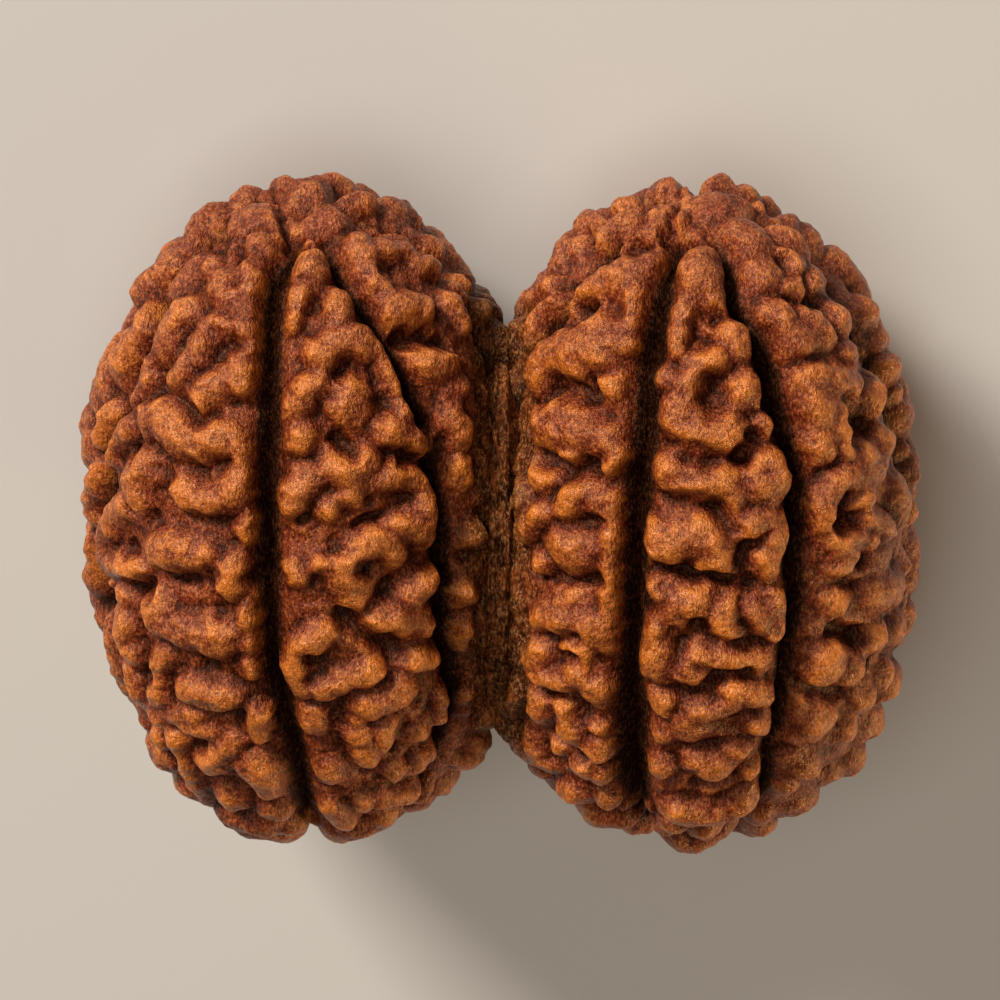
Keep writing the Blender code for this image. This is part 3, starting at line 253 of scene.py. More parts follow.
# Ridges and knobs of the left nut: half width, height of the top, then x and y of each point along it
LEFT_RIDGES = (
    (12, 4, 255, 192), (10, 3, 232, 208), (18, 4, 190, 240, 215, 218), (18, 4, 150, 285, 172, 258),
    (12, 3, 150, 300, 140, 325), (17, 5, 118, 360, 130, 340), (14, 4, 172, 290, 182, 270, 195, 255),
    (10, 2, 206, 262), (8, 2, 207, 240), (14, 4, 215, 222, 240, 218, 266, 210), (10, 4, 260, 240),
    (14, 5, 268, 218), (18, -1, 222, 280, 232, 300), (9, 3, 249, 265, 252, 297),
    (10, 2, 248, 310, 246, 345, 244, 372), (14, 5, 160, 345, 168, 328, 185, 312),
    (9, 2, 205, 325, 235, 325), (10, 5, 203, 340, 190, 365, 178, 378), (10, 4, 105, 410, 97, 440),
    (9, 3, 92, 470, 86, 500), (12, 4, 128, 398, 140, 375, 145, 355, 165, 342),
    (15, 5, 145, 420, 162, 417, 178, 436), (12, 4, 178, 438, 198, 448, 215, 440, 228, 435),
    (10, 3, 232, 440, 241, 457, 243, 475, 235, 495, 210, 503, 186, 500), (12, 5, 182, 490),
    (12, 4, 200, 395, 215, 382, 243, 380), (10, 4, 130, 425, 115, 435, 105, 455),
    (15, 5, 145, 465, 133, 480, 137, 498), (13, 4, 125, 505, 110, 515, 100, 535), (9, 3, 88, 545),
    (11, 4, 100, 530, 97, 555, 112, 566, 135, 571), (9, 2, 97, 575, 95, 600), (8, 2, 118, 597),
    (12, 3, 122, 620, 122, 640, 132, 655), (13, 5, 155, 555, 178, 549, 205, 561),
    (9, 4, 235, 560, 229, 588), (16, 5, 155, 605, 160, 622, 185, 632, 208, 639, 230, 640),
    (10, 2, 155, 668, 165, 656), (10, 3, 126, 670, 136, 695),
    (11, 4, 185, 690, 197, 690, 210, 697, 232, 697), (9, 3, 157, 680, 157, 700),
    (10, 3, 155, 715, 175, 716, 195, 719), (11, 4, 157, 742), (8, 2, 190, 728, 207, 734),
    (7, 2, 172, 735, 185, 765), (12, 4, 205, 765, 222, 757, 232, 745),
    (9, 2, 185, 770, 198, 790, 205, 800), (16, 4, 255, 770, 263, 782, 270, 795),
    (9, 3, 258, 715, 256, 740), (9, 2, 248, 600, 250, 640, 252, 675), (9, 2, 247, 510, 248, 545),
    (18, 3, 230, 803), (20, 3, 275, 818), (20, 5, 307, 188), (12, 3, 325, 182, 355, 182),
    (16, 4, 390, 203, 412, 212), (15, 4, 440, 243), (14, 4, 468, 280), (10, 2, 488, 308),
    (18, 4, 330, 212), (9, 3, 350, 200, 365, 200), (9, 3, 375, 215, 395, 225, 410, 237),
    (12, 3, 376, 248, 408, 248), (9, 3, 418, 262, 438, 264), (10, 3, 458, 285, 474, 296),
    (12, 2, 360, 240, 372, 268, 388, 290), (15, 5, 395, 305, 422, 308), (10, 2, 455, 302, 468, 322),
    (18, 5, 430, 362, 448, 364), (12, 2, 462, 385, 455, 402), (11, 3, 455, 415, 466, 436),
    (10, 2, 466, 462, 470, 482), (12, 4, 480, 538), (12, 4, 470, 598), (10, 1, 468, 632, 470, 655),
    (12, 2, 455, 700, 450, 720), (10, 1, 475, 705), (20, 6, 310, 265),
    (7, 1, 300, 288, 296, 310, 290, 322), (12, 3, 345, 298, 340, 318),
    (11, 3, 320, 355, 335, 342, 355, 335, 365, 345), (9, 2, 370, 335, 390, 358, 400, 390, 410, 425),
    (10, 3, 318, 381, 302, 396, 292, 410), (25, 6, 348, 402), (9, 3, 380, 428), (12, 4, 300, 438),
    (12, 3, 308, 481, 295, 492, 287, 504), (11, 4, 330, 470, 347, 473, 365, 463), (11, 4, 351, 493),
    (9, 2, 375, 480, 395, 480), (9, 3, 328, 510), (10, 6, 390, 430, 415, 437, 432, 442),
    (11, 4, 400, 475, 420, 479, 431, 495, 435, 522), (11, 4, 400, 522, 435, 533), (12, 4, 294, 577),
    (7, 2, 322, 567), (10, 4, 345, 583, 342, 568, 352, 558, 364, 548, 380, 540, 392, 546, 398, 558),
    (15, 6, 355, 595), (12, 4, 375, 627, 390, 620, 415, 622, 432, 628),
    (12, 5, 415, 600, 428, 588, 442, 578), (10, 3, 415, 662, 436, 662),
    (11, 3, 323, 637, 308, 644, 293, 656, 290, 672, 299, 693),
    (9, 3, 322, 692, 335, 687, 352, 680, 375, 672), (14, 5, 368, 705, 385, 702, 404, 694),
    (18, 5, 310, 725), (8, 2, 357, 722), (9, 3, 360, 735, 368, 758), (9, 3, 386, 730, 381, 745),
    (10, 2, 423, 735), (18, 4, 330, 776), (13, 4, 397, 773), (8, 2, 412, 772, 425, 762, 445, 757),
    (10, 2, 328, 813, 345, 825), (9, 2, 366, 805), (10, 2, 385, 802, 410, 798, 425, 792), (9, 2, 323, 836),
    (9, 2, 372, 826),
)

# Hollows, pits and slits of the left nut: half width, depth, then x and y of each point along it
LEFT_HOLLOWS = (
    (7, 14, 297, 228, 290, 237, 315, 243), (5, 12, 288, 235, 282, 215, 276, 197),
    (7, 8, 237, 247, 240, 253), (6, 4, 232, 285), (8, 5, 215, 338, 240, 345), (9, 8, 157, 388),
    (11, 5, 215, 460), (9, 5, 195, 470), (8, 5, 192, 412, 186, 408), (7, 4, 235, 405), (9, 8, 132, 452),
    (8, 9, 150, 520), (6, 6, 132, 508), (7, 5, 185, 514, 215, 520), (9, 8, 125, 550),
    (11, 14, 130, 588, 145, 590), (7, 7, 208, 570), (7, 9, 170, 580, 192, 585), (7, 8, 215, 615),
    (9, 9, 146, 675), (9, 9, 205, 665), (5, 8, 215, 713, 242, 716), (11, 14, 195, 745),
    (7, 8, 220, 785, 235, 790), (5, 5, 380, 232), (9, 5, 388, 268), (9, 13, 408, 336, 430, 339, 450, 343),
    (5, 6, 455, 275), (9, 7, 313, 306), (8, 5, 340, 368), (4, 4, 319, 400, 322, 415, 345, 443),
    (7, 12, 337, 437, 355, 452), (6, 8, 303, 523), (9, 7, 410, 460), (5, 9, 360, 525, 385, 516, 400, 509),
    (4, 4, 325, 555, 350, 550), (7, 8, 365, 568), (9, 9, 390, 590), (10, 14, 345, 621, 380, 641, 402, 656),
    (9, 8, 316, 662), (8, 7, 420, 706), (7, 8, 365, 778), (7, 7, 397, 753), (9, 8, 425, 778),
    (4, 5, 320, 798, 345, 798), (8, 8, 475, 561), (6, 7, 490, 320),
)

# Grooves of the left nut that the view shows: height in the view, left edge and right edge
LEFT_GROOVES = (
    ((200, 238, 250), (245, 192, 206), (290, 150, 163), (330, 147, 160), (370, 124, 138), (400, 116, 128),
     (445, 97, 108), (500, 90, 100), (560, 88, 98)),
    ((238, 282, 292), (255, 266, 284), (290, 257, 279), (340, 254, 277), (400, 253, 276), (460, 252, 275),
     (520, 251, 275), (580, 253, 276), (640, 255, 277), (665, 256, 276), (692, 264, 288), (720, 271, 293),
     (750, 281, 301), (780, 290, 306), (805, 296, 309)),
    ((250, 324, 332), (285, 345, 356), (330, 379, 391), (375, 401, 416), (425, 422, 439), (475, 433, 451),
     (535, 441, 461), (575, 443, 464), (615, 443, 464), (650, 447, 468), (690, 457, 476)),
)

# Ridges and knobs, hollows, and grooves of the right nut, read in the same way
RIGHT_RIDGES = (
    (12, 5, 663, 186), (14, 4, 640, 192), (13, 3, 612, 204), (14, 3, 592, 214),
    (10, 4, 655, 213, 672, 214), (12, 2, 575, 240, 590, 222), (12, 3, 556, 262, 568, 246, 580, 236),
    (10, 1, 600, 240, 610, 225), (10, 3, 620, 240, 635, 225, 660, 225), (10, 2, 653, 253, 652, 265),
    (16, 3, 634, 272, 610, 275, 580, 285, 563, 298), (12, 2, 530, 295, 548, 284),
    (9, 2, 522, 345, 528, 322, 540, 308, 552, 301), (12, 1, 545, 325), (14, 3, 590, 325, 612, 335),
    (18, 6, 532, 368, 545, 353, 580, 352, 603, 345), (9, 1, 634, 290, 628, 320, 624, 345),
    (12, 3, 610, 385), (26, 2, 560, 412), (16, 6, 540, 425, 572, 432, 592, 436), (12, 5, 570, 452),
    (8, 3, 606, 440, 614, 447, 616, 456, 610, 470), (12, 3, 537, 475),
    (9, 5, 580, 484, 570, 500, 562, 518), (14, 5, 592, 500), (8, 2, 516, 490, 519, 503),
    (9, 3, 522, 530, 530, 520, 545, 512), (20, 5, 560, 545, 580, 552), (10, 3, 537, 565),
    (16, 5, 542, 618, 565, 620, 590, 630), (12, 5, 594, 634), (26, 0, 570, 603),
    (12, 4, 535, 650, 532, 665, 540, 677), (9, 3, 548, 680, 562, 684, 575, 674, 580, 655),
    (8, 1, 562, 643, 585, 650), (14, 5, 588, 680, 597, 697), (12, 3, 538, 703, 536, 716),
    (10, 4, 562, 708, 566, 727, 576, 742), (12, 4, 588, 751, 601, 757), (9, 2, 596, 735),
    (12, 2, 555, 748), (12, 3, 580, 768, 600, 782), (14, 3, 605, 806), (15, 3, 567, 792, 578, 798),
    (15, 2, 530, 748, 542, 764), (13, 3, 635, 820), (8, 1, 510, 690, 505, 715),
    (8, 1, 611, 500, 609, 560, 607, 610, 606, 650), (22, 7, 700, 264, 702, 280),
    (9, 3, 684, 300, 677, 320, 676, 348), (10, 1, 716, 290, 718, 303), (16, 6, 740, 330, 740, 344),
    (10, 4, 690, 365, 700, 358, 717, 358), (10, 4, 697, 370, 694, 385), (16, 5, 748, 380, 748, 392),
    (10, 5, 661, 375), (9, 2, 676, 383, 690, 386),
    (14, 6, 680, 402, 674, 418, 690, 431, 715, 434, 731, 434), (12, 4, 768, 422),
    (14, 5, 666, 470, 690, 486, 712, 484, 728, 482), (10, 4, 733, 490, 736, 505),
    (18, 6, 762, 482, 778, 480), (12, 4, 776, 462, 784, 480), (14, 6, 665, 548, 680, 541, 700, 540),
    (16, 5, 690, 533, 715, 545), (12, 5, 714, 560), (10, 4, 653, 530, 653, 558),
    (12, 3, 742, 525, 762, 518, 780, 520), (11, 4, 781, 530, 779, 545), (15, 6, 768, 565),
    (12, 5, 653, 592), (14, 6, 684, 603, 698, 606), (10, 2, 668, 612, 675, 622),
    (13, 5, 652, 632, 652, 672), (10, 3, 683, 672), (12, 1, 654, 698, 662, 710),
    (11, 5, 724, 612, 722, 625, 730, 632), (12, 5, 755, 612, 766, 626), (9, 2, 780, 600, 778, 635),
    (12, 3, 700, 655, 730, 658, 765, 660), (10, 2, 690, 676), (12, 3, 735, 692, 762, 697, 770, 701),
    (18, 6, 688, 728), (12, 2, 700, 712, 730, 704), (15, 4, 762, 726), (14, 4, 740, 755),
    (12, 3, 700, 765, 718, 772), (12, 5, 655, 772), (10, 2, 662, 740), (10, 3, 754, 775),
    (14, 4, 672, 814, 700, 816, 730, 814, 753, 800), (16, 3, 672, 830), (14, 3, 706, 834),
    (10, 2, 690, 765), (20, 4, 700, 198, 720, 202), (14, 3, 733, 196, 745, 208),
    (18, 2, 735, 224, 760, 240), (12, 2, 785, 250, 796, 262), (16, 4, 785, 230, 801, 243),
    (18, 5, 766, 270), (16, 3, 818, 275), (12, 2, 795, 285), (12, 3, 775, 312, 790, 322),
    (18, 4, 800, 335, 802, 348), (12, 3, 808, 318, 826, 336), (14, 4, 843, 316), (16, 4, 850, 352),
    (14, 5, 810, 380, 830, 376, 852, 382), (14, 4, 814, 395, 824, 415),
    (9, 4, 833, 402, 841, 425, 848, 448), (14, 5, 823, 442), (20, 4, 878, 392), (12, 3, 880, 350),
    (10, 3, 903, 392), (20, 4, 888, 444), (12, 3, 914, 450), (20, 4, 862, 462, 878, 470),
    (10, 5, 836, 490, 843, 478, 852, 476, 862, 484, 861, 502), (10, 2, 826, 500, 830, 520),
    (20, 4, 903, 492, 905, 515), (8, 3, 920, 500, 920, 525), (8, 3, 862, 517, 877, 521, 892, 532),
    (8, 3, 848, 532, 862, 534, 871, 543), (12, 4, 838, 537, 852, 550), (12, 4, 843, 570),
    (26, 2, 885, 560), (14, 4, 842, 606), (18, 4, 875, 595, 898, 590), (12, 2, 912, 565),
    (16, 3, 878, 640), (14, 2, 900, 630), (26, 4, 830, 668), (14, 3, 855, 672), (14, 3, 886, 678),
    (16, 3, 866, 700), (22, 3, 822, 730), (14, 2, 850, 732), (16, 2, 813, 774), (14, 2, 790, 796),
)
RIGHT_HOLLOWS = (
    (8, 18, 668, 232, 680, 236, 692, 238), (5, 12, 669, 230, 675, 210, 680, 188), (8, 9, 668, 205),
    (7, 8, 630, 243, 650, 247), (6, 6, 594, 263), (6, 6, 556, 281, 575, 273, 590, 262), (11, 14, 583, 308),
    (7, 4, 605, 309, 620, 311), (10, 14, 546, 388, 562, 390, 580, 394, 591, 393),
    (9, 13, 540, 460, 556, 466, 572, 473, 588, 470), (6, 6, 560, 524, 600, 520),
    (5, 7, 530, 579, 562, 582, 600, 584), (8, 7, 548, 637, 575, 636), (9, 12, 572, 659),
    (7, 9, 540, 689, 560, 694, 580, 707), (6, 5, 592, 674), (9, 8, 580, 716),
    (6, 9, 548, 734, 562, 744, 586, 757), (9, 6, 693, 328, 696, 343), (9, 9, 714, 314), (9, 12, 707, 343),
    (13, 11, 712, 384), (11, 7, 712, 412), (10, 14, 742, 456), (8, 8, 752, 436),
    (6, 7, 668, 440, 695, 447, 720, 457), (8, 6, 708, 465), (8, 9, 668, 498, 700, 503, 722, 512),
    (9, 8, 735, 525), (6, 14, 655, 570, 680, 576, 705, 578, 733, 584), (8, 10, 748, 546),
    (8, 11, 749, 562, 752, 585), (7, 4, 665, 585), (9, 8, 685, 646), (8, 6, 745, 628), (10, 9, 698, 627),
    (6, 7, 690, 645, 720, 641, 765, 644), (7, 14, 716, 683, 730, 677, 745, 672),
    (8, 8, 695, 693, 716, 697), (8, 6, 757, 712), (4, 5, 702, 746, 720, 748, 752, 741),
    (10, 12, 700, 790, 728, 785), (8, 8, 785, 262), (8, 5, 795, 298), (7, 8, 757, 216), (8, 6, 812, 298),
    (8, 6, 848, 400), (13, 15, 856, 428, 872, 420), (8, 8, 848, 503, 846, 515),
    (9, 14, 842, 524, 856, 518), (7, 6, 868, 562), (5, 5, 836, 583, 862, 586),
    (10, 15, 842, 635, 866, 640), (8, 14, 872, 668), (8, 10, 805, 692, 822, 698, 850, 698),
    (10, 11, 790, 760), (5, 4, 800, 361, 845, 363),
)
RIGHT_GROOVES = (
    ((262, 658, 672), (300, 647, 667), (330, 640, 663), (350, 635, 664), (375, 632, 650), (400, 630, 655),
     (430, 628, 656), (455, 626, 650), (475, 621, 645), (490, 620, 649), (525, 620, 643), (540, 620, 641),
     (565, 619, 644), (605, 618, 643), (640, 617, 641), (660, 617, 637), (680, 614, 635), (697, 611, 638),
     (715, 609, 644), (760, 612, 641), (790, 614, 646), (810, 622, 642)),
    ((262, 728, 738), (300, 729, 745), (320, 744, 760), (345, 756, 776), (365, 760, 785), (385, 767, 790),
     (405, 768, 790), (435, 784, 802), (455, 787, 808), (475, 796, 811), (510, 792, 815), (545, 793, 812),
     (575, 790, 812), (605, 795, 815), (640, 788, 806), (680, 786, 800), (700, 779, 797), (720, 780, 797),
     (760, 767, 782), (800, 767, 777)),
    ((262, 828, 838), (300, 846, 855), (340, 868, 878), (400, 897, 905), (450, 908, 914), (500, 914, 919)),
)

# Middles of the grooves on the hidden sides, in degrees about each nut's length
LEFT_HIDDEN_GROOVES = (86.0, 139.0, 196.0, 240.0)
RIGHT_HIDDEN_GROOVES = (128.0, 181.0, 220.0, 255.0, 289.0)


class Egg:
    """A blunt egg along Y: (ring / (radius * slimming))^n + |y / half length|^n = 1, n for its bluntness.

    The slimming, 1 - taper * y / half length, makes it narrower towards the stalk end.
    """

    def __init__(self, middle, radius, half_length, taper):
        self.middle = np.array(middle)
        self.radius = radius
        self.half_length = half_length
        self.taper = taper

    def slimmed_radius(self, along):
        """The radius that the egg's rings are measured against at places along its length."""
        return self.radius * (1.0 - self.taper * along / self.half_length)

    def surface(self, theta, turn):
        """Points of the plain egg at a polar angle from the stalk end and a turn about the length."""
        power = 2.0 / BLUNTNESS
        along = self.half_length * np.sign(np.cos(theta)) * np.abs(np.cos(theta)) ** power
        ring = self.slimmed_radius(along) * np.abs(np.sin(theta)) ** power
        return np.stack((ring * np.sin(turn), along, ring * np.cos(turn)), axis=-1)

    def normals(self, points):
        """Outward directions of the plain egg, from the slope of its equation."""
        radius = self.slimmed_radius(points[..., 1])
        ring = np.maximum(np.hypot(points[..., 0], points[..., 2]), 1e-9)
        across = (ring / radius) ** (BLUNTNESS - 1.0) / radius
        along = np.abs(points[..., 1] / self.half_length) ** (BLUNTNESS - 1.0) / self.half_length
        along = np.sign(points[..., 1]) * along
        along = along + (ring / radius) ** BLUNTNESS * self.taper * self.radius / (self.half_length * radius)
        slope = np.stack((across * points[..., 0] / ring, along, across * points[..., 2] / ring), axis=-1)
        return slope / np.linalg.norm(slope, axis=-1, keepdims=True)

    def inside(self, points):
        """The egg's equation: under 1 inside the plain egg, 1 on it and more outside."""
        ring = np.hypot(points[..., 0], points[..., 2]) / self.slimmed_radius(points[..., 1])
        return ring ** BLUNTNESS + np.abs(points[..., 1] / self.half_length) ** BLUNTNESS

    def polar_angle(self, points):
        """Polar angle from the stalk end of points on the plain egg."""
        ring = np.hypot(points[:, 0], points[:, 2]) / self.slimmed_radius(points[:, 1])
        along = np.sign(points[:, 1]) * np.abs(points[:, 1] / self.half_length) ** (BLUNTNESS / 2.0)
        return np.arctan2(ring ** (BLUNTNESS / 2.0), along)


class Nut(Egg):
    """One nut: an egg with the grooves and strokes that were read on its upper side."""

    def __init__(self, middle, radius, half_length, taper, ridges, hollows, grooves, hidden_grooves, seed):
        super().__init__(middle, radius, half_length, taper)
        self.random = np.random.default_rng(seed)
        self.ridges = self.strokes(ridges)
        self.hollows = self.strokes(hollows)
        self.groove_edges = self.find_groove_edges(grooves, hidden_grooves)
        self.ridges = np.vstack((self.ridges, self.spare_ridges()))
        places = self.ridges[:, :3]
        self.ridges[:, 3] *= 1.0 + BEAD_SWELL * value_noise(places, BEAD_CELL * UNIT, SEED + 31)
        self.ridges[:, 4] += BEAD_RISE * value_noise(places, BEAD_CELL * UNIT, SEED + 32)

    def seen_at(self, spots):
        """Points of the plain egg that the view shows at given spots, found along each line of sight."""
        spots = np.asarray(spots, dtype=float)
        eye = VIEW_BACK * VIEW_DISTANCE
        target = (spots[:, :1] - VIEW_MIDDLE[0]) * UNIT * np.array((1.0, 0.0, 0.0))
        target = target + (VIEW_MIDDLE[1] - spots[:, 1:2]) * UNIT * VIEW_UP
        sight = target - eye
        sight = sight / np.linalg.norm(sight, axis=1, keepdims=True)
        steps = np.linspace(VIEW_DISTANCE - SIGHT_REACH, VIEW_DISTANCE + SIGHT_REACH, SIGHT_STEPS)
        path = eye + sight[:, None, :] * steps[None, :, None] - (self.middle - np.array(VIEW_TARGET))
        depth = self.inside(path)
        first = np.argmax(depth < 1.0, axis=1)
        nearest = np.argmin(depth, axis=1)
        chosen = np.where(first > 0, first, nearest)
        rows = np.arange(len(spots))
        return path[rows, chosen] / depth[rows, chosen][:, None] ** (1.0 / BLUNTNESS)

    def strokes(self, entries):
        """Rows of x, y, z, half width and height for every point along every stroke."""
        spots = []
        sizes = []
        for half_width, height, *numbers in entries:
            corners = np.array(numbers, dtype=float).reshape(-1, 2)
            lengths = np.concatenate(([0.0], np.cumsum(np.linalg.norm(np.diff(corners, axis=0), axis=1))))
            count = max(1, int(round(lengths[-1] / STROKE_STEP)) + 1)
            for place in np.linspace(0.0, lengths[-1], count):
                spots.append([np.interp(place, lengths, corners[:, axis]) for axis in (0, 1)])
                sizes.append((half_width, height))
        return np.hstack((self.seen_at(spots), np.array(sizes, dtype=float)))

    def find_groove_edges(self, grooves, hidden_grooves):
        """Turn angles of each groove's two edges against the polar angle, in order about the nut."""
        theta = np.linspace(0.0, math.pi, ANGLE_KNOTS)
        found = []
        for groove in grooves:
            rows = np.array(groove, dtype=float)
            edges = []
            for column in (1, 2):
                points = self.seen_at(np.stack((rows[:, column], rows[:, 0]), axis=1))
                polar = self.polar_angle(points)
                turn = np.arctan2(points[:, 0], points[:, 2])
                order = np.argsort(polar)
                edges.append(np.interp(theta, polar[order], turn[order]))
            found.append(np.stack(edges))
        for degrees in hidden_grooves:
            wander = self.random.normal(0.0, 1.0, WANDER_KNOTS)
            knots = np.linspace(0.0, math.pi, WANDER_KNOTS)
            middle = math.radians(degrees) + GROOVE_WANDER * np.interp(theta, knots, wander)
            ring = self.radius * np.maximum(np.sin(theta), LEAST_SINE)
            half = 0.5 * HIDDEN_GROOVE_WIDTH * UNIT / ring
            found.append(np.stack((middle - half, middle + half)))
        found.sort(key=lambda edges: edges[0, EQUATOR] % (2.0 * math.pi))
        edges = np.concatenate(found)
        kernel = np.ones(ANGLE_SMOOTHING) / ANGLE_SMOOTHING
        margin = ANGLE_SMOOTHING // 2
        padded = np.pad(np.unwrap(edges, axis=0), ((0, 0), (margin, margin)), mode="edge")
        smooth = np.stack([np.convolve(line, kernel, mode="valid") for line in padded])
        widths = np.diff(np.vstack((smooth, smooth[:1] + 2.0 * math.pi)), axis=0)
        widths[0::2] = np.maximum(widths[0::2], LEAST_GROOVE_TURN)
        widths[1::2] = np.maximum(widths[1::2], LEAST_SEGMENT_TURN)
        widths = widths * 2.0 * math.pi / widths.sum(axis=0)
        ordered = np.vstack((np.zeros_like(widths[:1]), np.cumsum(widths[:-1], axis=0)))
        return ordered + (smooth - ordered).mean(axis=0)

    def spare_ridges(self):
        """Seeded ridges of the same kind for the sides that the view doesn't show."""
        known = self.ridges[:, :3]
        rows = []
        for _ in range(SPARE_TRIES):
            theta = math.acos(self.random.uniform(SPARE_POLE_GAP - 1.0, 1.0 - SPARE_POLE_GAP))
            turn = self.random.uniform(0.0, 2.0 * math.pi)
            start = self.surface(np.array(theta), np.array(turn))
            length = self.random.uniform(*SPARE_LENGTH)
            half_width = self.random.uniform(*SPARE_RADIUS)
            top = self.random.uniform(*SPARE_TOP)
            heading = self.random.normal(0.0, SPARE_HEADING)
            bend = self.random.normal(0.0, SPARE_BEND)
            if self.normals(start) @ VIEW_BACK > SPARE_FACING:
                continue
            if np.linalg.norm(known - start, axis=1).min() < SPARE_GAP * UNIT:
                continue
            steps = np.linspace(0.0, 1.0, max(1, int(length / STROKE_STEP)))
            angle = heading + bend * steps
            advance = length * UNIT / max(len(steps), 1)
            ring = max(math.hypot(start[0], start[2]), SPARE_LEAST_RING)
            turns = turn + np.cumsum(np.cos(angle)) * advance / ring
            thetas = theta + np.cumsum(np.sin(angle)) * advance / self.half_length
            points = self.surface(thetas, turns)
            known = np.vstack((known, points))
            rows.append(np.hstack((points, np.tile((half_width, top), (len(points), 1)))))
        return np.vstack(rows)

    def row_angles(self, count):
        """Polar angles that space the rows evenly along the egg's side, without its two poles."""
        fine = np.linspace(0.0, math.pi, SIDE_KNOTS)
        side = self.surface(fine, np.zeros_like(fine))
        reach = np.concatenate(([0.0], np.cumsum(np.linalg.norm(np.diff(side, axis=0), axis=1))))
        return np.interp(np.linspace(0.0, reach[-1], count + 2)[1:-1], reach, fine)

    def column_places(self):
        """Places of the grid's columns: the whole part counts the bands, grooves and segments in turn."""
        turns = self.groove_edges[:, EQUATOR]
        widths = np.diff(np.append(turns, turns[0] + 2.0 * math.pi))
        places = []
        for band, width in enumerate(widths):
            if band % 2 == 0:
                even = np.arange(GROOVE_COLUMNS) / GROOVE_COLUMNS
                places.append(band + 0.5 - 0.5 * np.cos(math.pi * even))
            else:
                count = int(round(width * self.radius / (SEGMENT_STEP * UNIT)))
                places.append(band + np.arange(count) / count)
        return np.concatenate(places)

    def grid(self):
        """The grid's points on the plain egg, with two numbers for each that the relief goes by.

        They are its distance to the nearest groove edge in view units, below 0 inside a groove, and its
        share of the way across a segment.
        """
        theta = self.row_angles(GRID_ROWS)[:, None]
        places = self.column_places()[None, :]
        bands = len(self.groove_edges)
        band = np.floor(places).astype(int) % bands
        share = places - np.floor(places)
        knots = np.linspace(0.0, math.pi, self.groove_edges.shape[1])
        edges = np.stack([np.interp(theta[:, 0], knots, line) for line in self.groove_edges], axis=1)
        edges = np.hstack((edges, edges[:, :1] + 2.0 * math.pi))
        start = edges[:, band[0]]
        end = edges[:, band[0] + 1]
        turn = start + share * (end - start)
        theta = np.broadcast_to(theta, turn.shape)
        ring = self.radius * np.abs(np.sin(theta)) ** (2.0 / BLUNTNESS) / UNIT
        side = np.where(band % 2 == 1, 1.0, -1.0)
        to_edge = side * np.minimum(turn - start, end - turn) * ring
        segment_share = np.where(band % 2 == 1, share, 0.0) * np.ones_like(turn)
        return self.surface(theta, turn), to_edge, segment_share


def eased(share):
    """A share from 0 to 1 with a level start and end."""
    return share * share * (3.0 - 2.0 * share)


def value_noise(points, cell, seed):
    """Smooth noise from -1 to 1: seeded values on a cubic lattice, eased between its corners.

    Each use adds a number of its own to SEED, so that no two layers of noise are alike.
    """
    table = np.random.default_rng(seed).uniform(-1.0, 1.0, LATTICE_VALUES)
    scaled = points / cell
    corner = np.floor(scaled).astype(np.int64)
    part = eased(scaled - corner)
    total = np.zeros(points.shape[:-1])
    for steps in itertools.product((0, 1), repeat=3):
        mixed = 0
        weight = 1.0
        for axis in range(3):
            mixed = mixed ^ (corner[..., axis] + steps[axis]) * LATTICE_PRIMES[axis]
            weight = weight * np.abs(1 - steps[axis] - part[..., axis])
        total += table[mixed % LATTICE_VALUES] * weight
    return total


def husk_fibres(place):
    """How far each point belongs to the seam, and the fibres' and lumps' height there, from -1 to 1.

    The fibres are noise drawn out along the seam, a ring round its axis, and bent from side to side.
    """
    bend = SEAM_BEND * value_noise(place, SEAM_BEND_CELL, SEED + 21)
    edge = (place[..., 0] + bend - SEAM_MIDDLE) / SEAM_HALF_WIDTH
    along = np.arctan2(place[..., 1] - SEAM_AXIS[0], place[..., 2] - SEAM_AXIS[1]) * SEAM_RING
    strands = np.stack((place[..., 0] + bend, along * FIBRE_STRETCH, np.zeros_like(along)), axis=-1)
    thick = value_noise(strands, FIBRE_WIDTH, SEED + 22)
    thin = value_noise(strands, 0.5 * FIBRE_WIDTH, SEED + 23)
    lump = value_noise(place, SEAM_LUMP_CELL, SEED + 24)
    return np.exp(-edge ** 4), (thick + 0.5 * thin) / 1.5, lump


def squared_distances(points, others):
    """Squared distances between two lists of points, in view units."""
    first = points / UNIT
    second = others / UNIT
    squares = (first ** 2).sum(axis=1)[:, None] + (second ** 2).sum(axis=1)[None, :]
    return np.maximum(squares - 2.0 * first @ second.T, 0.0)


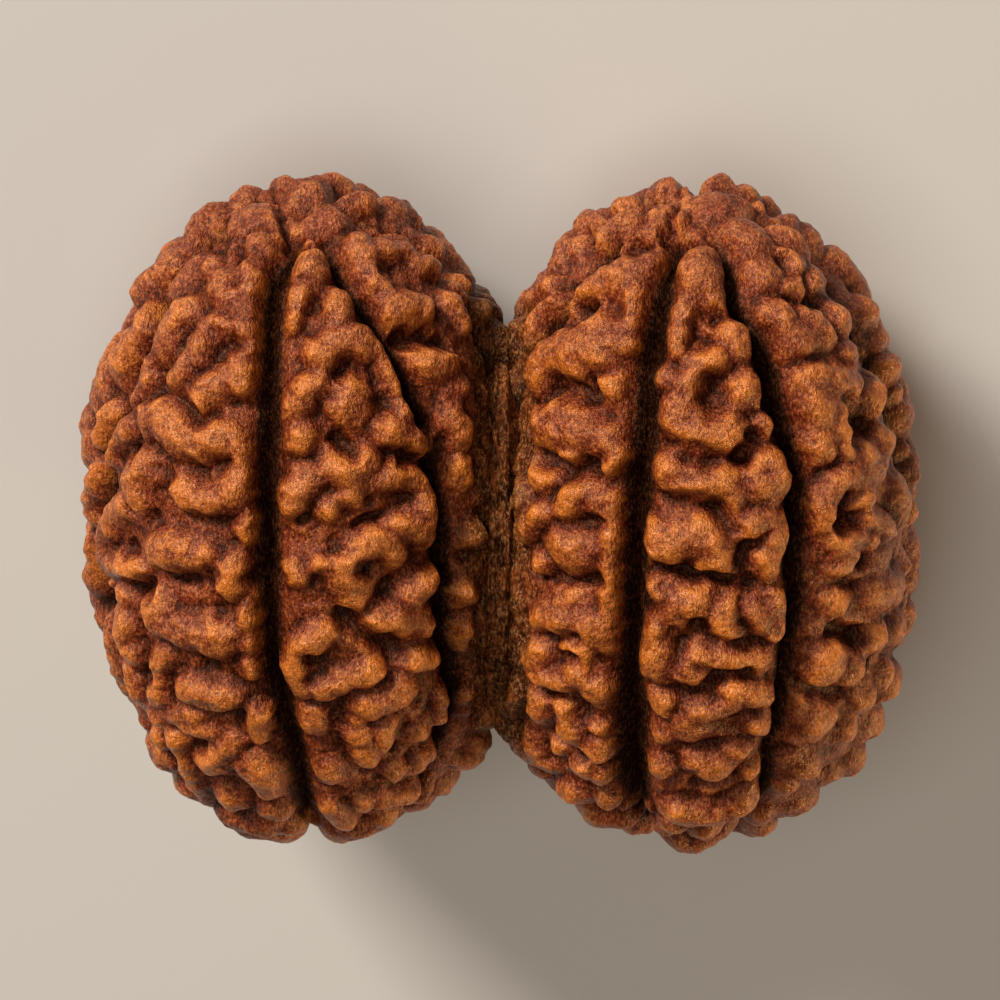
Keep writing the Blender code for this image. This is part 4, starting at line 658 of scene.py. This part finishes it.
def banks_and_scoops(nut, points):
    """Height of the ridges and depth of the deepest hollow at each point, in view units.

    A ridge is a pillow about its line: its drop from the top is half_width * (a t^2 + b t^4), where t is
    the distance over the half width. Neighbours melt into each other by k log(sum of exp(height / k)).
    A hollow is a bowl, depth * (1 - d^2 / (reach * half width)^2).
    """
    height = np.full(points.shape[:2], OUT_OF_REACH)
    scoop = np.zeros(points.shape[:2])
    for row in range(0, points.shape[0], BLOCK):
        for column in range(0, points.shape[1], BLOCK):
            part = (slice(row, row + BLOCK), slice(column, column + BLOCK))
            block = points[part].reshape(-1, 3)
            middle = block.mean(axis=0)
            reach = np.linalg.norm(block - middle, axis=1).max() + STROKE_REACH * UNIT
            near = nut.ridges[np.linalg.norm(nut.ridges[:, :3] - middle, axis=1) < reach]
            shape = points[part].shape[:2]
            if len(near):
                widths = near[:, 3]
                share = squared_distances(block, near[:, :3]) / widths ** 2
                drop = widths * share * (PILLOW_CURVE + PILLOW_FLANK * share)
                tops = near[:, 4] - drop
                highest = tops.max(axis=1, keepdims=True)
                melted = MELT * np.log(np.exp((tops - highest) / MELT).sum(axis=1))
                height[part] = (highest[:, 0] + melted).reshape(shape)
            near = nut.hollows[np.linalg.norm(nut.hollows[:, :3] - middle, axis=1) < reach]
            if len(near):
                share = squared_distances(block, near[:, :3]) / (HOLLOW_REACH * near[:, 3]) ** 2
                scoop[part] = (near[:, 4] * np.maximum(1.0 - share, 0.0)).max(axis=1).reshape(shape)
    return height, scoop


def rounded_step(height, distance, width):
    """The height inside, nothing outside, and a smooth wall where the distance passes 0."""
    return height / (1.0 + np.exp(np.clip(distance / width, -STEEPEST, STEEPEST)))


def relief(nut, points, to_edge, segment_share):
    """Height of the wrinkled skin in view units before and after it is cut, and what its colours go by.

    The highest ridge wins and runs smoothly into the floor between ridges, max + k h^2 / 4 with
    h = 1 - gap / k. Hollows are scooped out of that, each segment swells a little, and the grooves are
    cut by a rounded step, depth / (1 + exp(distance / width)), which stands back under each knob.
    """
    wobble = np.stack([value_noise(points, WOBBLE_CELL * UNIT, SEED + axis) for axis in range(3)], axis=-1)
    moved = points + wobble * WOBBLE * UNIT
    height, scoop = banks_and_scoops(nut, moved)
    floor = PLATEAU_LEVEL + PLATEAU_SWELL * value_noise(points, PLATEAU_CELL * UNIT, SEED + 7)
    blend = np.maximum(1.0 - np.abs(height - floor) / FOOT_BLEND, 0.0)
    height = np.maximum(height, floor) + 0.25 * FOOT_BLEND * blend ** 2 - scoop
    height = RELIEF_GAIN * softened(height, CREASE_SOFTENING)
    height = height + LUMP * value_noise(points, LUMP_CELL * UNIT, SEED + 11)
    height = height - WRINKLE * np.abs(value_noise(points, WRINKLE_CELL * UNIT, SEED + 13))
    ring = np.hypot(points[..., 0], points[..., 2]) / UNIT
    fade = eased(np.clip((ring - POLE_FADE[0]) / (POLE_FADE[1] - POLE_FADE[0]), 0.0, 1.0))
    height = height + SEGMENT_BULGE * (np.sin(math.pi * segment_share) - 0.5) * fade
    to_seam = (points[..., 0] + nut.middle[0] - SEAM_MIDDLE) / SEAM_DIP_WIDTH
    height = height - SEAM_DIP * np.exp(-to_seam ** 2)
    reach = to_edge + EDGE_BULGE * np.clip(height, -EDGE_RANGE, EDGE_RANGE) + WALL_SHIFT
    cut = rounded_step(fade, reach, WALL_WIDTH)
    shoulder = SHOULDER_DEPTH * np.exp(-np.maximum(to_edge, 0.0) / SHOULDER_WIDTH)
    pit = POLE_PIT_DEPTH * np.exp(-(ring / POLE_PIT_RADIUS) ** 2)
    inner = np.minimum(np.maximum(-to_edge, 0.0), GROOVE_MIDDLE)
    bottom = GROOVE_DEPTH + inner + GROOVE_LUMP * value_noise(points, GROOVE_LUMP_CELL * UNIT, SEED + 17)
    # Mask of the painted shade in the grooves: it starts a little inside the walls and covers the bottom,
    # which it also makes matt and rough
    dark = rounded_step(fade, reach - SHADE_SHIFT, SHADE_WIDTH)
    final = (height - fade * shoulder) * (1.0 - cut) - bottom * cut - pit
    husk, fibre, lump = husk_fibres(points + nut.middle)
    final = final + husk * (FIBRE_HEIGHT * fibre + SEAM_LUMP * lump) / UNIT
    return height, final, {"groove": dark, "husk": husk, "fibre": 0.5 + 0.5 * fibre}


def softened(values, times):
    """The grid's values averaged with their neighbours, round the columns and along the rows."""
    for _ in range(times):
        values = 0.5 * values + 0.25 * (np.roll(values, 1, axis=1) + np.roll(values, -1, axis=1))
        padded = np.pad(values, ((1, 1), (0, 0)), mode="edge")
        values = 0.5 * values + 0.25 * (padded[:-2] + padded[2:])
    return values


def closed_grid(name, points, first_pole, last_pole, attributes):
    """A mesh object from a grid that closes round its columns and ends in a pole at each side.

    The rows run outwards from the first pole. Each attribute is a grid of the same size.
    """
    rows, columns = points.shape[:2]
    vertices = np.vstack((points.reshape(-1, 3), first_pole[None, :], last_pole[None, :]))
    index = np.arange(rows * columns).reshape(rows, columns)
    following = np.roll(index, -1, axis=1)
    quads = np.stack((index[:-1], index[1:], following[1:], following[:-1]), axis=-1).reshape(-1, 4)
    first = np.full(columns, rows * columns)
    start = np.stack((first, index[0], following[0]), axis=-1)
    end = np.stack((first + 1, following[-1], index[-1]), axis=-1)
    corners = np.concatenate((quads.ravel(), start.ravel(), end.ravel())).astype(np.int32)
    sizes = np.concatenate((np.full(len(quads), 4), np.full(2 * columns, 3)))
    starts = np.concatenate(([0], np.cumsum(sizes)[:-1])).astype(np.int32)
    mesh = bpy.data.meshes.new(name)
    mesh.vertices.add(len(vertices))
    mesh.vertices.foreach_set("co", vertices.ravel())
    mesh.loops.add(len(corners))
    mesh.loops.foreach_set("vertex_index", corners)
    mesh.polygons.add(len(sizes))
    mesh.polygons.foreach_set("loop_start", starts)
    mesh.update(calc_edges=True)
    for key, values in attributes.items():
        ends = (values[0].mean(), values[-1].mean())
        layer = mesh.attributes.new(key, "FLOAT", "POINT")
        layer.data.foreach_set("value", np.append(values.ravel(), ends).astype(np.float32))
    obj = bpy.data.objects.new(name, mesh)
    bpy.context.scene.collection.objects.link(obj)
    return obj


def thin_out(obj, triangles):
    """Collapse the flattest edges until the mesh has about the given number of triangles."""
    modifier = obj.modifiers.new("thin out", "DECIMATE")
    modifier.ratio = triangles / (2.0 * len(obj.data.polygons))
    modifier.use_collapse_triangulate = True
    graph = bpy.context.evaluated_depsgraph_get()
    mesh = bpy.data.meshes.new_from_object(obj.evaluated_get(graph))
    obj.modifiers.clear()
    obj.data = mesh


def make_nut(name, nut):
    """One nut: the egg's grid raised by its relief, flat where it meets the floor."""
    plain, to_edge, segment_share = nut.grid()
    uncut, height, attributes = relief(nut, plain, to_edge, segment_share)
    points = plain + nut.normals(plain) * height[..., None] * UNIT + nut.middle
    points[..., 2] = np.maximum(points[..., 2], 0.0)
    # The crest's rise over its surroundings: the colours paint shade into the hollows by it, and partly
    # paint highlight on the crests
    rise = (uncut - softened(uncut, CREST_SOFTENING)) / CREST_RANGE
    attributes["crest"] = np.clip(0.5 + rise, 0.0, 1.0)
    obj = closed_grid(name, points, points[0].mean(axis=0), points[-1].mean(axis=0), attributes)
    thin_out(obj, NUT_TRIANGLES)
    obj.data.shade_smooth()
    return obj


def seam_points(x, reach, out_y, out_z):
    """Points at a reach from the seam's axis along directions square to X."""
    return np.stack((x, SEAM_AXIS[0] + reach * out_y, SEAM_AXIS[1] + reach * out_z), axis=-1)


def reach_to_skin(nut, x, out_y, out_z):
    """Distance from the seam's axis to the plain egg's skin along directions square to X, by halving."""
    low = np.zeros_like(x)
    high = np.full_like(x, SEAM_SEARCH)
    for _ in range(SEAM_HALVINGS):
        middle = 0.5 * (low + high)
        inside = nut.inside(seam_points(x, middle, out_y, out_z) - nut.middle) < 1.0
        low = np.where(inside, middle, low)
        high = np.where(inside, high, middle)
    return low


def make_seam(name, left, right):
    """The fibrous web that fills the crease between the nuts.

    The two eggs' skins run into each other by a smooth maximum, max + k h^2 / 4 with h = 1 - gap / k, laid
    at the depth of the valleys. Away from the crease the web dives under the nuts' own skin.
    """
    turn = np.linspace(0.0, 2.0 * math.pi, SEAM_COLUMNS, endpoint=False)[None, :]
    x = np.linspace(SEAM_SPAN[0], SEAM_SPAN[1], SEAM_ROWS)[:, None] * np.ones_like(turn)
    out_y = np.sin(turn) * np.ones_like(x)
    out_z = np.cos(turn) * np.ones_like(x)
    left_reach = reach_to_skin(left, x, out_y, out_z)
    right_reach = reach_to_skin(right, x, out_y, out_z)
    apart = np.abs(left_reach - right_reach) / SEAM_FILLET
    blend = np.maximum(1.0 - apart, 0.0)
    filled = 0.25 * SEAM_FILLET * blend ** 2
    reach = np.maximum(left_reach, right_reach) - SEAM_LEVEL + filled
    reach = reach - SEAM_SINK * np.maximum(1.0 - filled / SEAM_CLEAR, 0.0)
    reach = reach - SEAM_DEEP * np.clip(apart - SEAM_DIVE, 0.0, 1.0)
    place = seam_points(x, reach, out_y, out_z)
    husk, fibre, lump = husk_fibres(place)
    reach = reach + FIBRE_HEIGHT * fibre + SEAM_LUMP * lump
    reach = reach + SEAM_RAGGED * value_noise(place, SEAM_RAGGED_CELL, SEED + 25)
    points = seam_points(x, reach, out_y, out_z)
    points[..., 2] = np.maximum(points[..., 2], 0.0)
    poles = [np.array((end, *SEAM_AXIS)) for end in SEAM_SPAN]
    attributes = {"crest": np.full_like(x, SEAM_CREST), "groove": np.zeros_like(x), "husk": husk,
                  "fibre": 0.5 + 0.5 * fibre}
    obj = closed_grid(name, points, poles[0], poles[1], attributes)
    obj.data.shade_smooth()
    return obj


def linear(code):
    """Linear red, green, blue and alpha of an sRGB hex colour."""
    parts = [int(code[place:place + 2], 16) / 255.0 for place in (1, 3, 5)]
    return (*[part / 12.92 if part <= 0.04045 else ((part + 0.055) / 1.055) ** 2.4 for part in parts], 1.0)


def add_node(tree, kind, links=None, **settings):
    """Add a node with its settings, and link or set its inputs by name or number."""
    node = tree.nodes.new(kind)
    for key, value in settings.items():
        setattr(node, key, value)
    for key, value in (links or {}).items():
        if isinstance(value, bpy.types.NodeSocket):
            tree.links.new(value, node.inputs[key])
        else:
            node.inputs[key].default_value = value
    return node


def per_size(millimetres):
    """Texture scale, in repeats a metre, that gives spots of about the given size."""
    return 1000.0 / millimetres


def mix_colours(tree, share, first, second, blend="MIX"):
    """Colour output that goes from the first to the second as the share goes from 0 to 1."""
    links = {0: share, 6: first, 7: second}
    return add_node(tree, "ShaderNodeMix", links, data_type="RGBA", blend_type=blend).outputs[2]


def ramp_between(tree, value, low, high):
    """Output that goes smoothly from 0 at the low value to 1 at the high one."""
    links = {"Value": value, "From Min": low, "From Max": high}
    return add_node(tree, "ShaderNodeMapRange", links, interpolation_type="SMOOTHSTEP").outputs["Result"]


def combine(tree, operation, first, second):
    """Output of a two-number sum, such as ADD or MULTIPLY."""
    return add_node(tree, "ShaderNodeMath", {0: first, 1: second}, operation=operation).outputs[0]


def noise(tree, place, size, detail=2.0, rough=0.5):
    """Soft noise from 0 to 1 with spots of about the given size in millimetres."""
    links = {"Vector": place, "Scale": per_size(size), "Detail": detail, "Roughness": rough}
    return add_node(tree, "ShaderNodeTexNoise", links).outputs["Fac"]


def new_material(name):
    """A material with its node tree and shader."""
    material = bpy.data.materials.new(name)
    material.use_nodes = True
    return material, material.node_tree, material.node_tree.nodes["Principled BSDF"]


def attribute(tree, name):
    """Output of a number stored on the mesh."""
    return add_node(tree, "ShaderNodeAttribute", attribute_name=name).outputs["Fac"]


def spread(tree, value, amount):
    """The value's distance from a half, times the amount."""
    return combine(tree, "MULTIPLY", combine(tree, "SUBTRACT", value, 0.5), amount)


def range_of(tree, value, low, high, start, end):
    """The value taken from its low and high to the start and end."""
    links = {"Value": value, "From Min": low, "From Max": high, "To Min": start, "To Max": end}
    return add_node(tree, "ShaderNodeMapRange", links).outputs["Result"]


def bump(tree, height, distance, before=None):
    """Normal output that raises the height by a distance in millimetres, on top of an earlier normal."""
    links = {"Height": height, "Distance": 0.001 * distance, "Strength": 1.0}
    if before is not None:
        links["Normal"] = before
    return add_node(tree, "ShaderNodeBump", links).outputs[0]


def shell_material(look):
    """Oiled nutshell, hard and woody: crests waxy and orange, partly a painted highlight, hollows darkened
    by painted shade, and dusty.

    Fine fibres run along the nuts and glint, and light specks painted as glints lie most on the crests. Dry
    olive-brown husk fibre takes over along the seam.
    """
    material, tree, shader = new_material("oiled_nutshell")
    crest, groove, husk, fibre = [attribute(tree, name) for name in ("crest", "groove", "husk", "fibre")]
    place = add_node(tree, "ShaderNodeTexCoord").outputs["Object"]
    stretched = add_node(tree, "ShaderNodeVectorMath", {0: place, 1: STRAND_STRETCH}, operation="MULTIPLY")
    strands = stretched.outputs[0]
    patches = noise(tree, place, PATCH_SIZE, 3.0)
    mottle = noise(tree, place, MOTTLE_SIZE, 4.0, 0.6)
    blotch = noise(tree, place, BLOTCH_SIZE, 3.0, 0.65)
    grain = noise(tree, strands, GRAIN_SIZE, 3.0, 0.7)
    sparkle = noise(tree, strands, SPARKLE_SIZE, 2.0, 0.7)

    height = crest
    for pattern, shift in ((mottle, MOTTLE_SHIFT), (patches, PATCH_SHIFT), (blotch, BLOTCH_SHIFT)):
        height = combine(tree, "ADD", height, spread(tree, pattern, shift))
    # Painted shade and highlight: by crest height the colour goes from the dark hollow colour through the
    # shell to the orange crest colour
    share = ramp_between(tree, height, *SHELL_RANGE)
    colour = mix_colours(tree, share, look.hollow_shade_colour, look.shell_colour)
    share = ramp_between(tree, height, *CREST_COLOUR_RANGE)
    colour = mix_colours(tree, share, colour, look.crest_and_highlight_colour)
    strand = combine(tree, "ADD", fibre, spread(tree, blotch, STRAND_SHIFT))
    share = ramp_between(tree, strand, *STRAND_RANGE)
    husk_colour = mix_colours(tree, share, look.seam_dark_colour, look.seam_colour)
    colour = mix_colours(tree, combine(tree, "MULTIPLY", husk, HUSK_COVER), colour, husk_colour)
    # Painted shade: the bottoms of the grooves go near black
    colour = mix_colours(tree, ramp_between(tree, groove, *GROOVE_RANGE), colour, look.groove_shade_colour)

    tone = combine(tree, "ADD", spread(tree, sparkle, SPARKLE_TONE), spread(tree, grain, GRAIN_TONE))
    tone = combine(tree, "MULTIPLY", tone, range_of(tree, height, *TONE_BY_HEIGHT))
    tone = combine(tree, "MAXIMUM", combine(tree, "ADD", tone, 1.0), DARKEST_TONE)
    colour = mix_colours(tree, 1.0, colour, tone, "MULTIPLY")
    # Painted glints: light flecks over the shell, most on the crests and few in the grooves; on the seam
    # they are dust
    glints_and_dust = combine(tree, "MULTIPLY", husk, HUSK_FLECKS)
    glints_and_dust = combine(tree, "ADD", range_of(tree, height, *GLINTS_BY_HEIGHT), glints_and_dust)
    glints_and_dust = combine(tree, "MULTIPLY", glints_and_dust, range_of(tree, groove, *FLECKS_BY_GROOVE))
    glints_and_dust = combine(tree, "MULTIPLY", ramp_between(tree, sparkle, *FLECK_RANGE), glints_and_dust)
    glint_fleck_colour = mix_colours(tree, husk, look.glint_fleck_colour, look.dust_colour)
    tree.links.new(mix_colours(tree, glints_and_dust, colour, glint_fleck_colour), shader.inputs["Base Color"])

    matt = combine(tree, "MAXIMUM", groove, combine(tree, "MULTIPLY", husk, HUSK_MATT))
    bare = combine(tree, "SUBTRACT", 1.0, matt)
    gloss = combine(tree, "MULTIPLY", range_of(tree, height, *GLOSS_BY_HEIGHT), bare)
    tree.links.new(gloss, shader.inputs["Specular IOR Level"])
    tree.links.new(combine(tree, "MULTIPLY", bare, COAT_WEIGHT), shader.inputs["Coat Weight"])
    rough = combine(tree, "MAXIMUM", range_of(tree, height, *ROUGHNESS_BY_HEIGHT), groove)
    tree.links.new(rough, shader.inputs["Roughness"])
    normal = None
    for pattern, raised in ((sparkle, SPARKLE_RAISED), (grain, GRAIN_RAISED), (mottle, MOTTLE_RAISED)):
        normal = bump(tree, pattern, raised, normal)
    tree.links.new(normal, shader.inputs["Normal"])
    tree.links.new(normal, shader.inputs["Coat Normal"])
    for key, value in (("Coat Roughness", COAT_ROUGHNESS), ("Specular Tint", GLOSS_TINT),
                       ("Subsurface Weight", GLOW_WEIGHT), ("Subsurface Radius", GLOW_RADIUS),
                       ("Subsurface Scale", GLOW_DEPTH), ("IOR", SHELL_IOR)):
        shader.inputs[key].default_value = value
    return material


def floor_material(look):
    """Matt studio board: pale, even and slightly rough."""
    material, _, shader = new_material("studio_board")
    shader.inputs["Base Color"].default_value = look.floor_colour
    shader.inputs["Roughness"].default_value = FLOOR_ROUGHNESS
    return material


def dress(obj, material):
    """Give a piece of the nut its material, and let it stand for the solid and move with it."""
    obj.data.materials.clear()
    obj.data.materials.append(material)
    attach(obj, BODY)
    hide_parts(NODE)


def colour_setting(name, description, code):
    """A colour that the sidebar shows, with its default given as an sRGB hex value."""
    return bpy.props.FloatVectorProperty(name=name, description=description, default=linear(code), size=4,
                                         min=0.0, max=1.0, subtype="COLOR")


def length_setting(name, description, default):
    """A length in metres that the sidebar shows."""
    return bpy.props.FloatProperty(name=name, description=description, default=default, min=0.0,
                                   unit="LENGTH", subtype="DISTANCE", precision=5)


def power_setting(name, description, default):
    """A lamp's power in watts that the sidebar shows."""
    return bpy.props.FloatProperty(name=name, description=description, default=default, min=0.0,
                                   unit="POWER")


class NutSettings(bpy.types.PropertyGroup):
    """Sizes and colours of the twin nut."""

    left_radius: length_setting("Left radius", "Radius of the left nut's plain egg", LEFT_RADIUS)
    right_radius: length_setting("Right radius", "Radius of the right nut's plain egg", RIGHT_RADIUS)
    half_length: length_setting("Half length", "Half the length of both eggs", HALF_LENGTH)
    # The crests' orange is partly their own waxy tone and partly a painted highlight
    crest_and_highlight_colour: colour_setting("Crest", "Waxy tops of the knobs and ridges", "#BE661B")
    shell_colour: colour_setting("Shell", "Flanks of the ridges", "#72290F")
    # Painted shade: the dark colour of the valleys
    hollow_shade_colour: colour_setting("Hollow", "Valleys between the ridges", "#330B02")
    # Painted shade: the near black of the groove bottoms
    groove_shade_colour: colour_setting("Groove", "Bottoms of the long grooves", "#1C0904")
    # Painted glints: colour of the light flecks on the shell
    glint_fleck_colour: colour_setting("Fleck", "Fine light grain of the shell", "#C88048")
    dust_colour: colour_setting("Dust", "Dust and loose fibre in the low places", "#A88050")
    seam_colour: colour_setting("Seam", "Raised fibres of the seam", "#763C17")
    seam_dark_colour: colour_setting("Seam shade", "Gaps between the seam's fibres", "#240F05")


class StageSettings(bpy.types.PropertyGroup):
    """Colours and lamp strengths of the studio."""

    floor_colour: colour_setting("Floor", "Studio board under the nut", "#CFCBC6")
    rim_colour: colour_setting("Rim light", "Colour of the warm lamp at the right", "#FFD08A")
    key_power: power_setting("Key lamp", "Power of the large soft box", 9.0)
    fill_power: power_setting("Fill lamp", "Power of the soft box by the camera", 0.9)
    rim_power: power_setting("Rim lamp", "Power of the warm lamp at the right", 0.6)


class RUDRAKSHA_OT_nuts(bpy.types.Operator):
    """Build the two wrinkled nuts"""

    bl_idname = "rudraksha.nuts"
    bl_label = "Twin nuts"

    def execute(self, context):
        look = context.scene.rudraksha_nut
        left = Nut(LEFT_MIDDLE, look.left_radius, look.half_length, LEFT_TAPER, LEFT_RIDGES, LEFT_HOLLOWS,
                   LEFT_GROOVES, LEFT_HIDDEN_GROOVES, SEED)
        right = Nut(RIGHT_MIDDLE, look.right_radius, look.half_length, RIGHT_TAPER, RIGHT_RIDGES,
                    RIGHT_HOLLOWS, RIGHT_GROOVES, RIGHT_HIDDEN_GROOVES, SEED + 1)
        for name, nut in (("left_nut", left), ("right_nut", right)):
            dress(make_nut(name, nut), shell_material(look))
        return {"FINISHED"}


class RUDRAKSHA_OT_seam(bpy.types.Operator):
    """Build the fibrous web that joins the nuts"""

    bl_idname = "rudraksha.seam"
    bl_label = "Fibrous seam"

    def execute(self, context):
        look = context.scene.rudraksha_nut
        left = Egg(LEFT_MIDDLE, look.left_radius, look.half_length, LEFT_TAPER)
        right = Egg(RIGHT_MIDDLE, look.right_radius, look.half_length, RIGHT_TAPER)
        dress(make_seam("seam", left, right), shell_material(look))
        return {"FINISHED"}


def soft_box(name, power, direction, distance, size, colour):
    """A square lamp that faces the nut from the given direction."""
    lamp = bpy.data.lights.new(name, "AREA")
    lamp.size = size
    lamp.energy = power
    lamp.color = colour[:3]
    obj = bpy.data.objects.new(name, lamp)
    away = Vector(direction).normalized()
    obj.location = Vector(VIEW_TARGET) + away * distance
    obj.rotation_euler = away.to_track_quat("Z", "Y").to_euler()
    obj.visible_camera = False
    bpy.context.scene.collection.objects.link(obj)


def make_floor(look):
    """The studio board: one flat sheet whose middle lies under the nut."""
    half = FLOOR_HALF_SIZE
    mesh = bpy.data.meshes.new("floor")
    mesh.from_pydata([(-half, -half, 0.0), (half, -half, 0.0), (half, half, 0.0), (-half, half, 0.0)], [],
                     [(0, 1, 2, 3)])
    obj = bpy.data.objects.new("floor", mesh)
    obj.data.materials.append(floor_material(look))
    bpy.context.scene.collection.objects.link(obj)


def make_camera():
    """The camera at the photograph's angle, with the photograph's middle in the middle of its frame."""
    up = Vector(VIEW_UP)
    back = Vector(VIEW_BACK)
    aim = Vector(VIEW_TARGET) + up * UNIT * (VIEW_MIDDLE[1] - PICTURE_MIDDLE[1])
    aim.x -= UNIT * (VIEW_MIDDLE[0] - PICTURE_MIDDLE[0])
    data = bpy.data.cameras.new("camera")
    data.lens = LENS
    data.sensor_width = SENSOR
    data.clip_start, data.clip_end = CLIP_RANGE
    camera = bpy.data.objects.new("camera", data)
    turned = Matrix((Vector((1.0, 0.0, 0.0)), up, back)).transposed()
    camera.matrix_world = Matrix.Translation(aim + back * VIEW_DISTANCE) @ turned.to_4x4()
    bpy.context.scene.collection.objects.link(camera)
    bpy.context.scene.camera = camera


class RUDRAKSHA_OT_stage(bpy.types.Operator):
    """Build the floor, the lamps and the camera"""

    bl_idname = "rudraksha.stage"
    bl_label = "Studio stage"

    def execute(self, context):
        look = context.scene.rudraksha_stage
        make_floor(look)
        make_camera()
        soft_box("key", look.key_power, *KEY_LAMP)
        soft_box("fill", look.fill_power, *FILL_LAMP)
        soft_box("rim", look.rim_power, *RIM_LAMP, look.rim_colour)
        world = bpy.data.worlds.new("studio")
        world.use_nodes = True
        surround = world.node_tree.nodes["Background"].inputs
        surround["Color"].default_value = SURROUND_COLOUR
        surround["Strength"].default_value = SURROUND_STRENGTH
        context.scene.world = world
        context.scene.view_settings.view_transform = "Standard"
        return {"FINISHED"}


class RUDRAKSHA_PT_panel(bpy.types.Panel):
    """The sidebar's list of pieces and their settings"""

    bl_label = "Twin rudraksha"
    bl_idname = "RUDRAKSHA_PT_panel"
    bl_space_type = "VIEW_3D"
    bl_region_type = "UI"
    bl_category = "Rudraksha"

    def draw(self, context):
        for settings in (context.scene.rudraksha_nut, context.scene.rudraksha_stage):
            for key in settings.__annotations__:
                self.layout.prop(settings, key)
        for operator in OPERATORS:
            self.layout.operator(operator.bl_idname)


OPERATORS = (RUDRAKSHA_OT_nuts, RUDRAKSHA_OT_seam, RUDRAKSHA_OT_stage)
CLASSES = (NutSettings, StageSettings, *OPERATORS, RUDRAKSHA_PT_panel)


def register():
    """Make the settings, operators and panel known."""
    for entry in CLASSES:
        bpy.utils.register_class(entry)
    bpy.types.Scene.rudraksha_nut = bpy.props.PointerProperty(type=NutSettings)
    bpy.types.Scene.rudraksha_stage = bpy.props.PointerProperty(type=StageSettings)


def unregister():
    """Take the settings, operators and panel away again."""
    del bpy.types.Scene.rudraksha_nut
    del bpy.types.Scene.rudraksha_stage
    for entry in reversed(CLASSES):
        bpy.utils.unregister_class(entry)


def main():
    """Build every piece in turn."""
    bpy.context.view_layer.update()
    register()
    for build in (bpy.ops.rudraksha.nuts, bpy.ops.rudraksha.seam, bpy.ops.rudraksha.stage):
        build()
    bpy.context.view_layer.update()


if __name__ == "__main__":
    main()
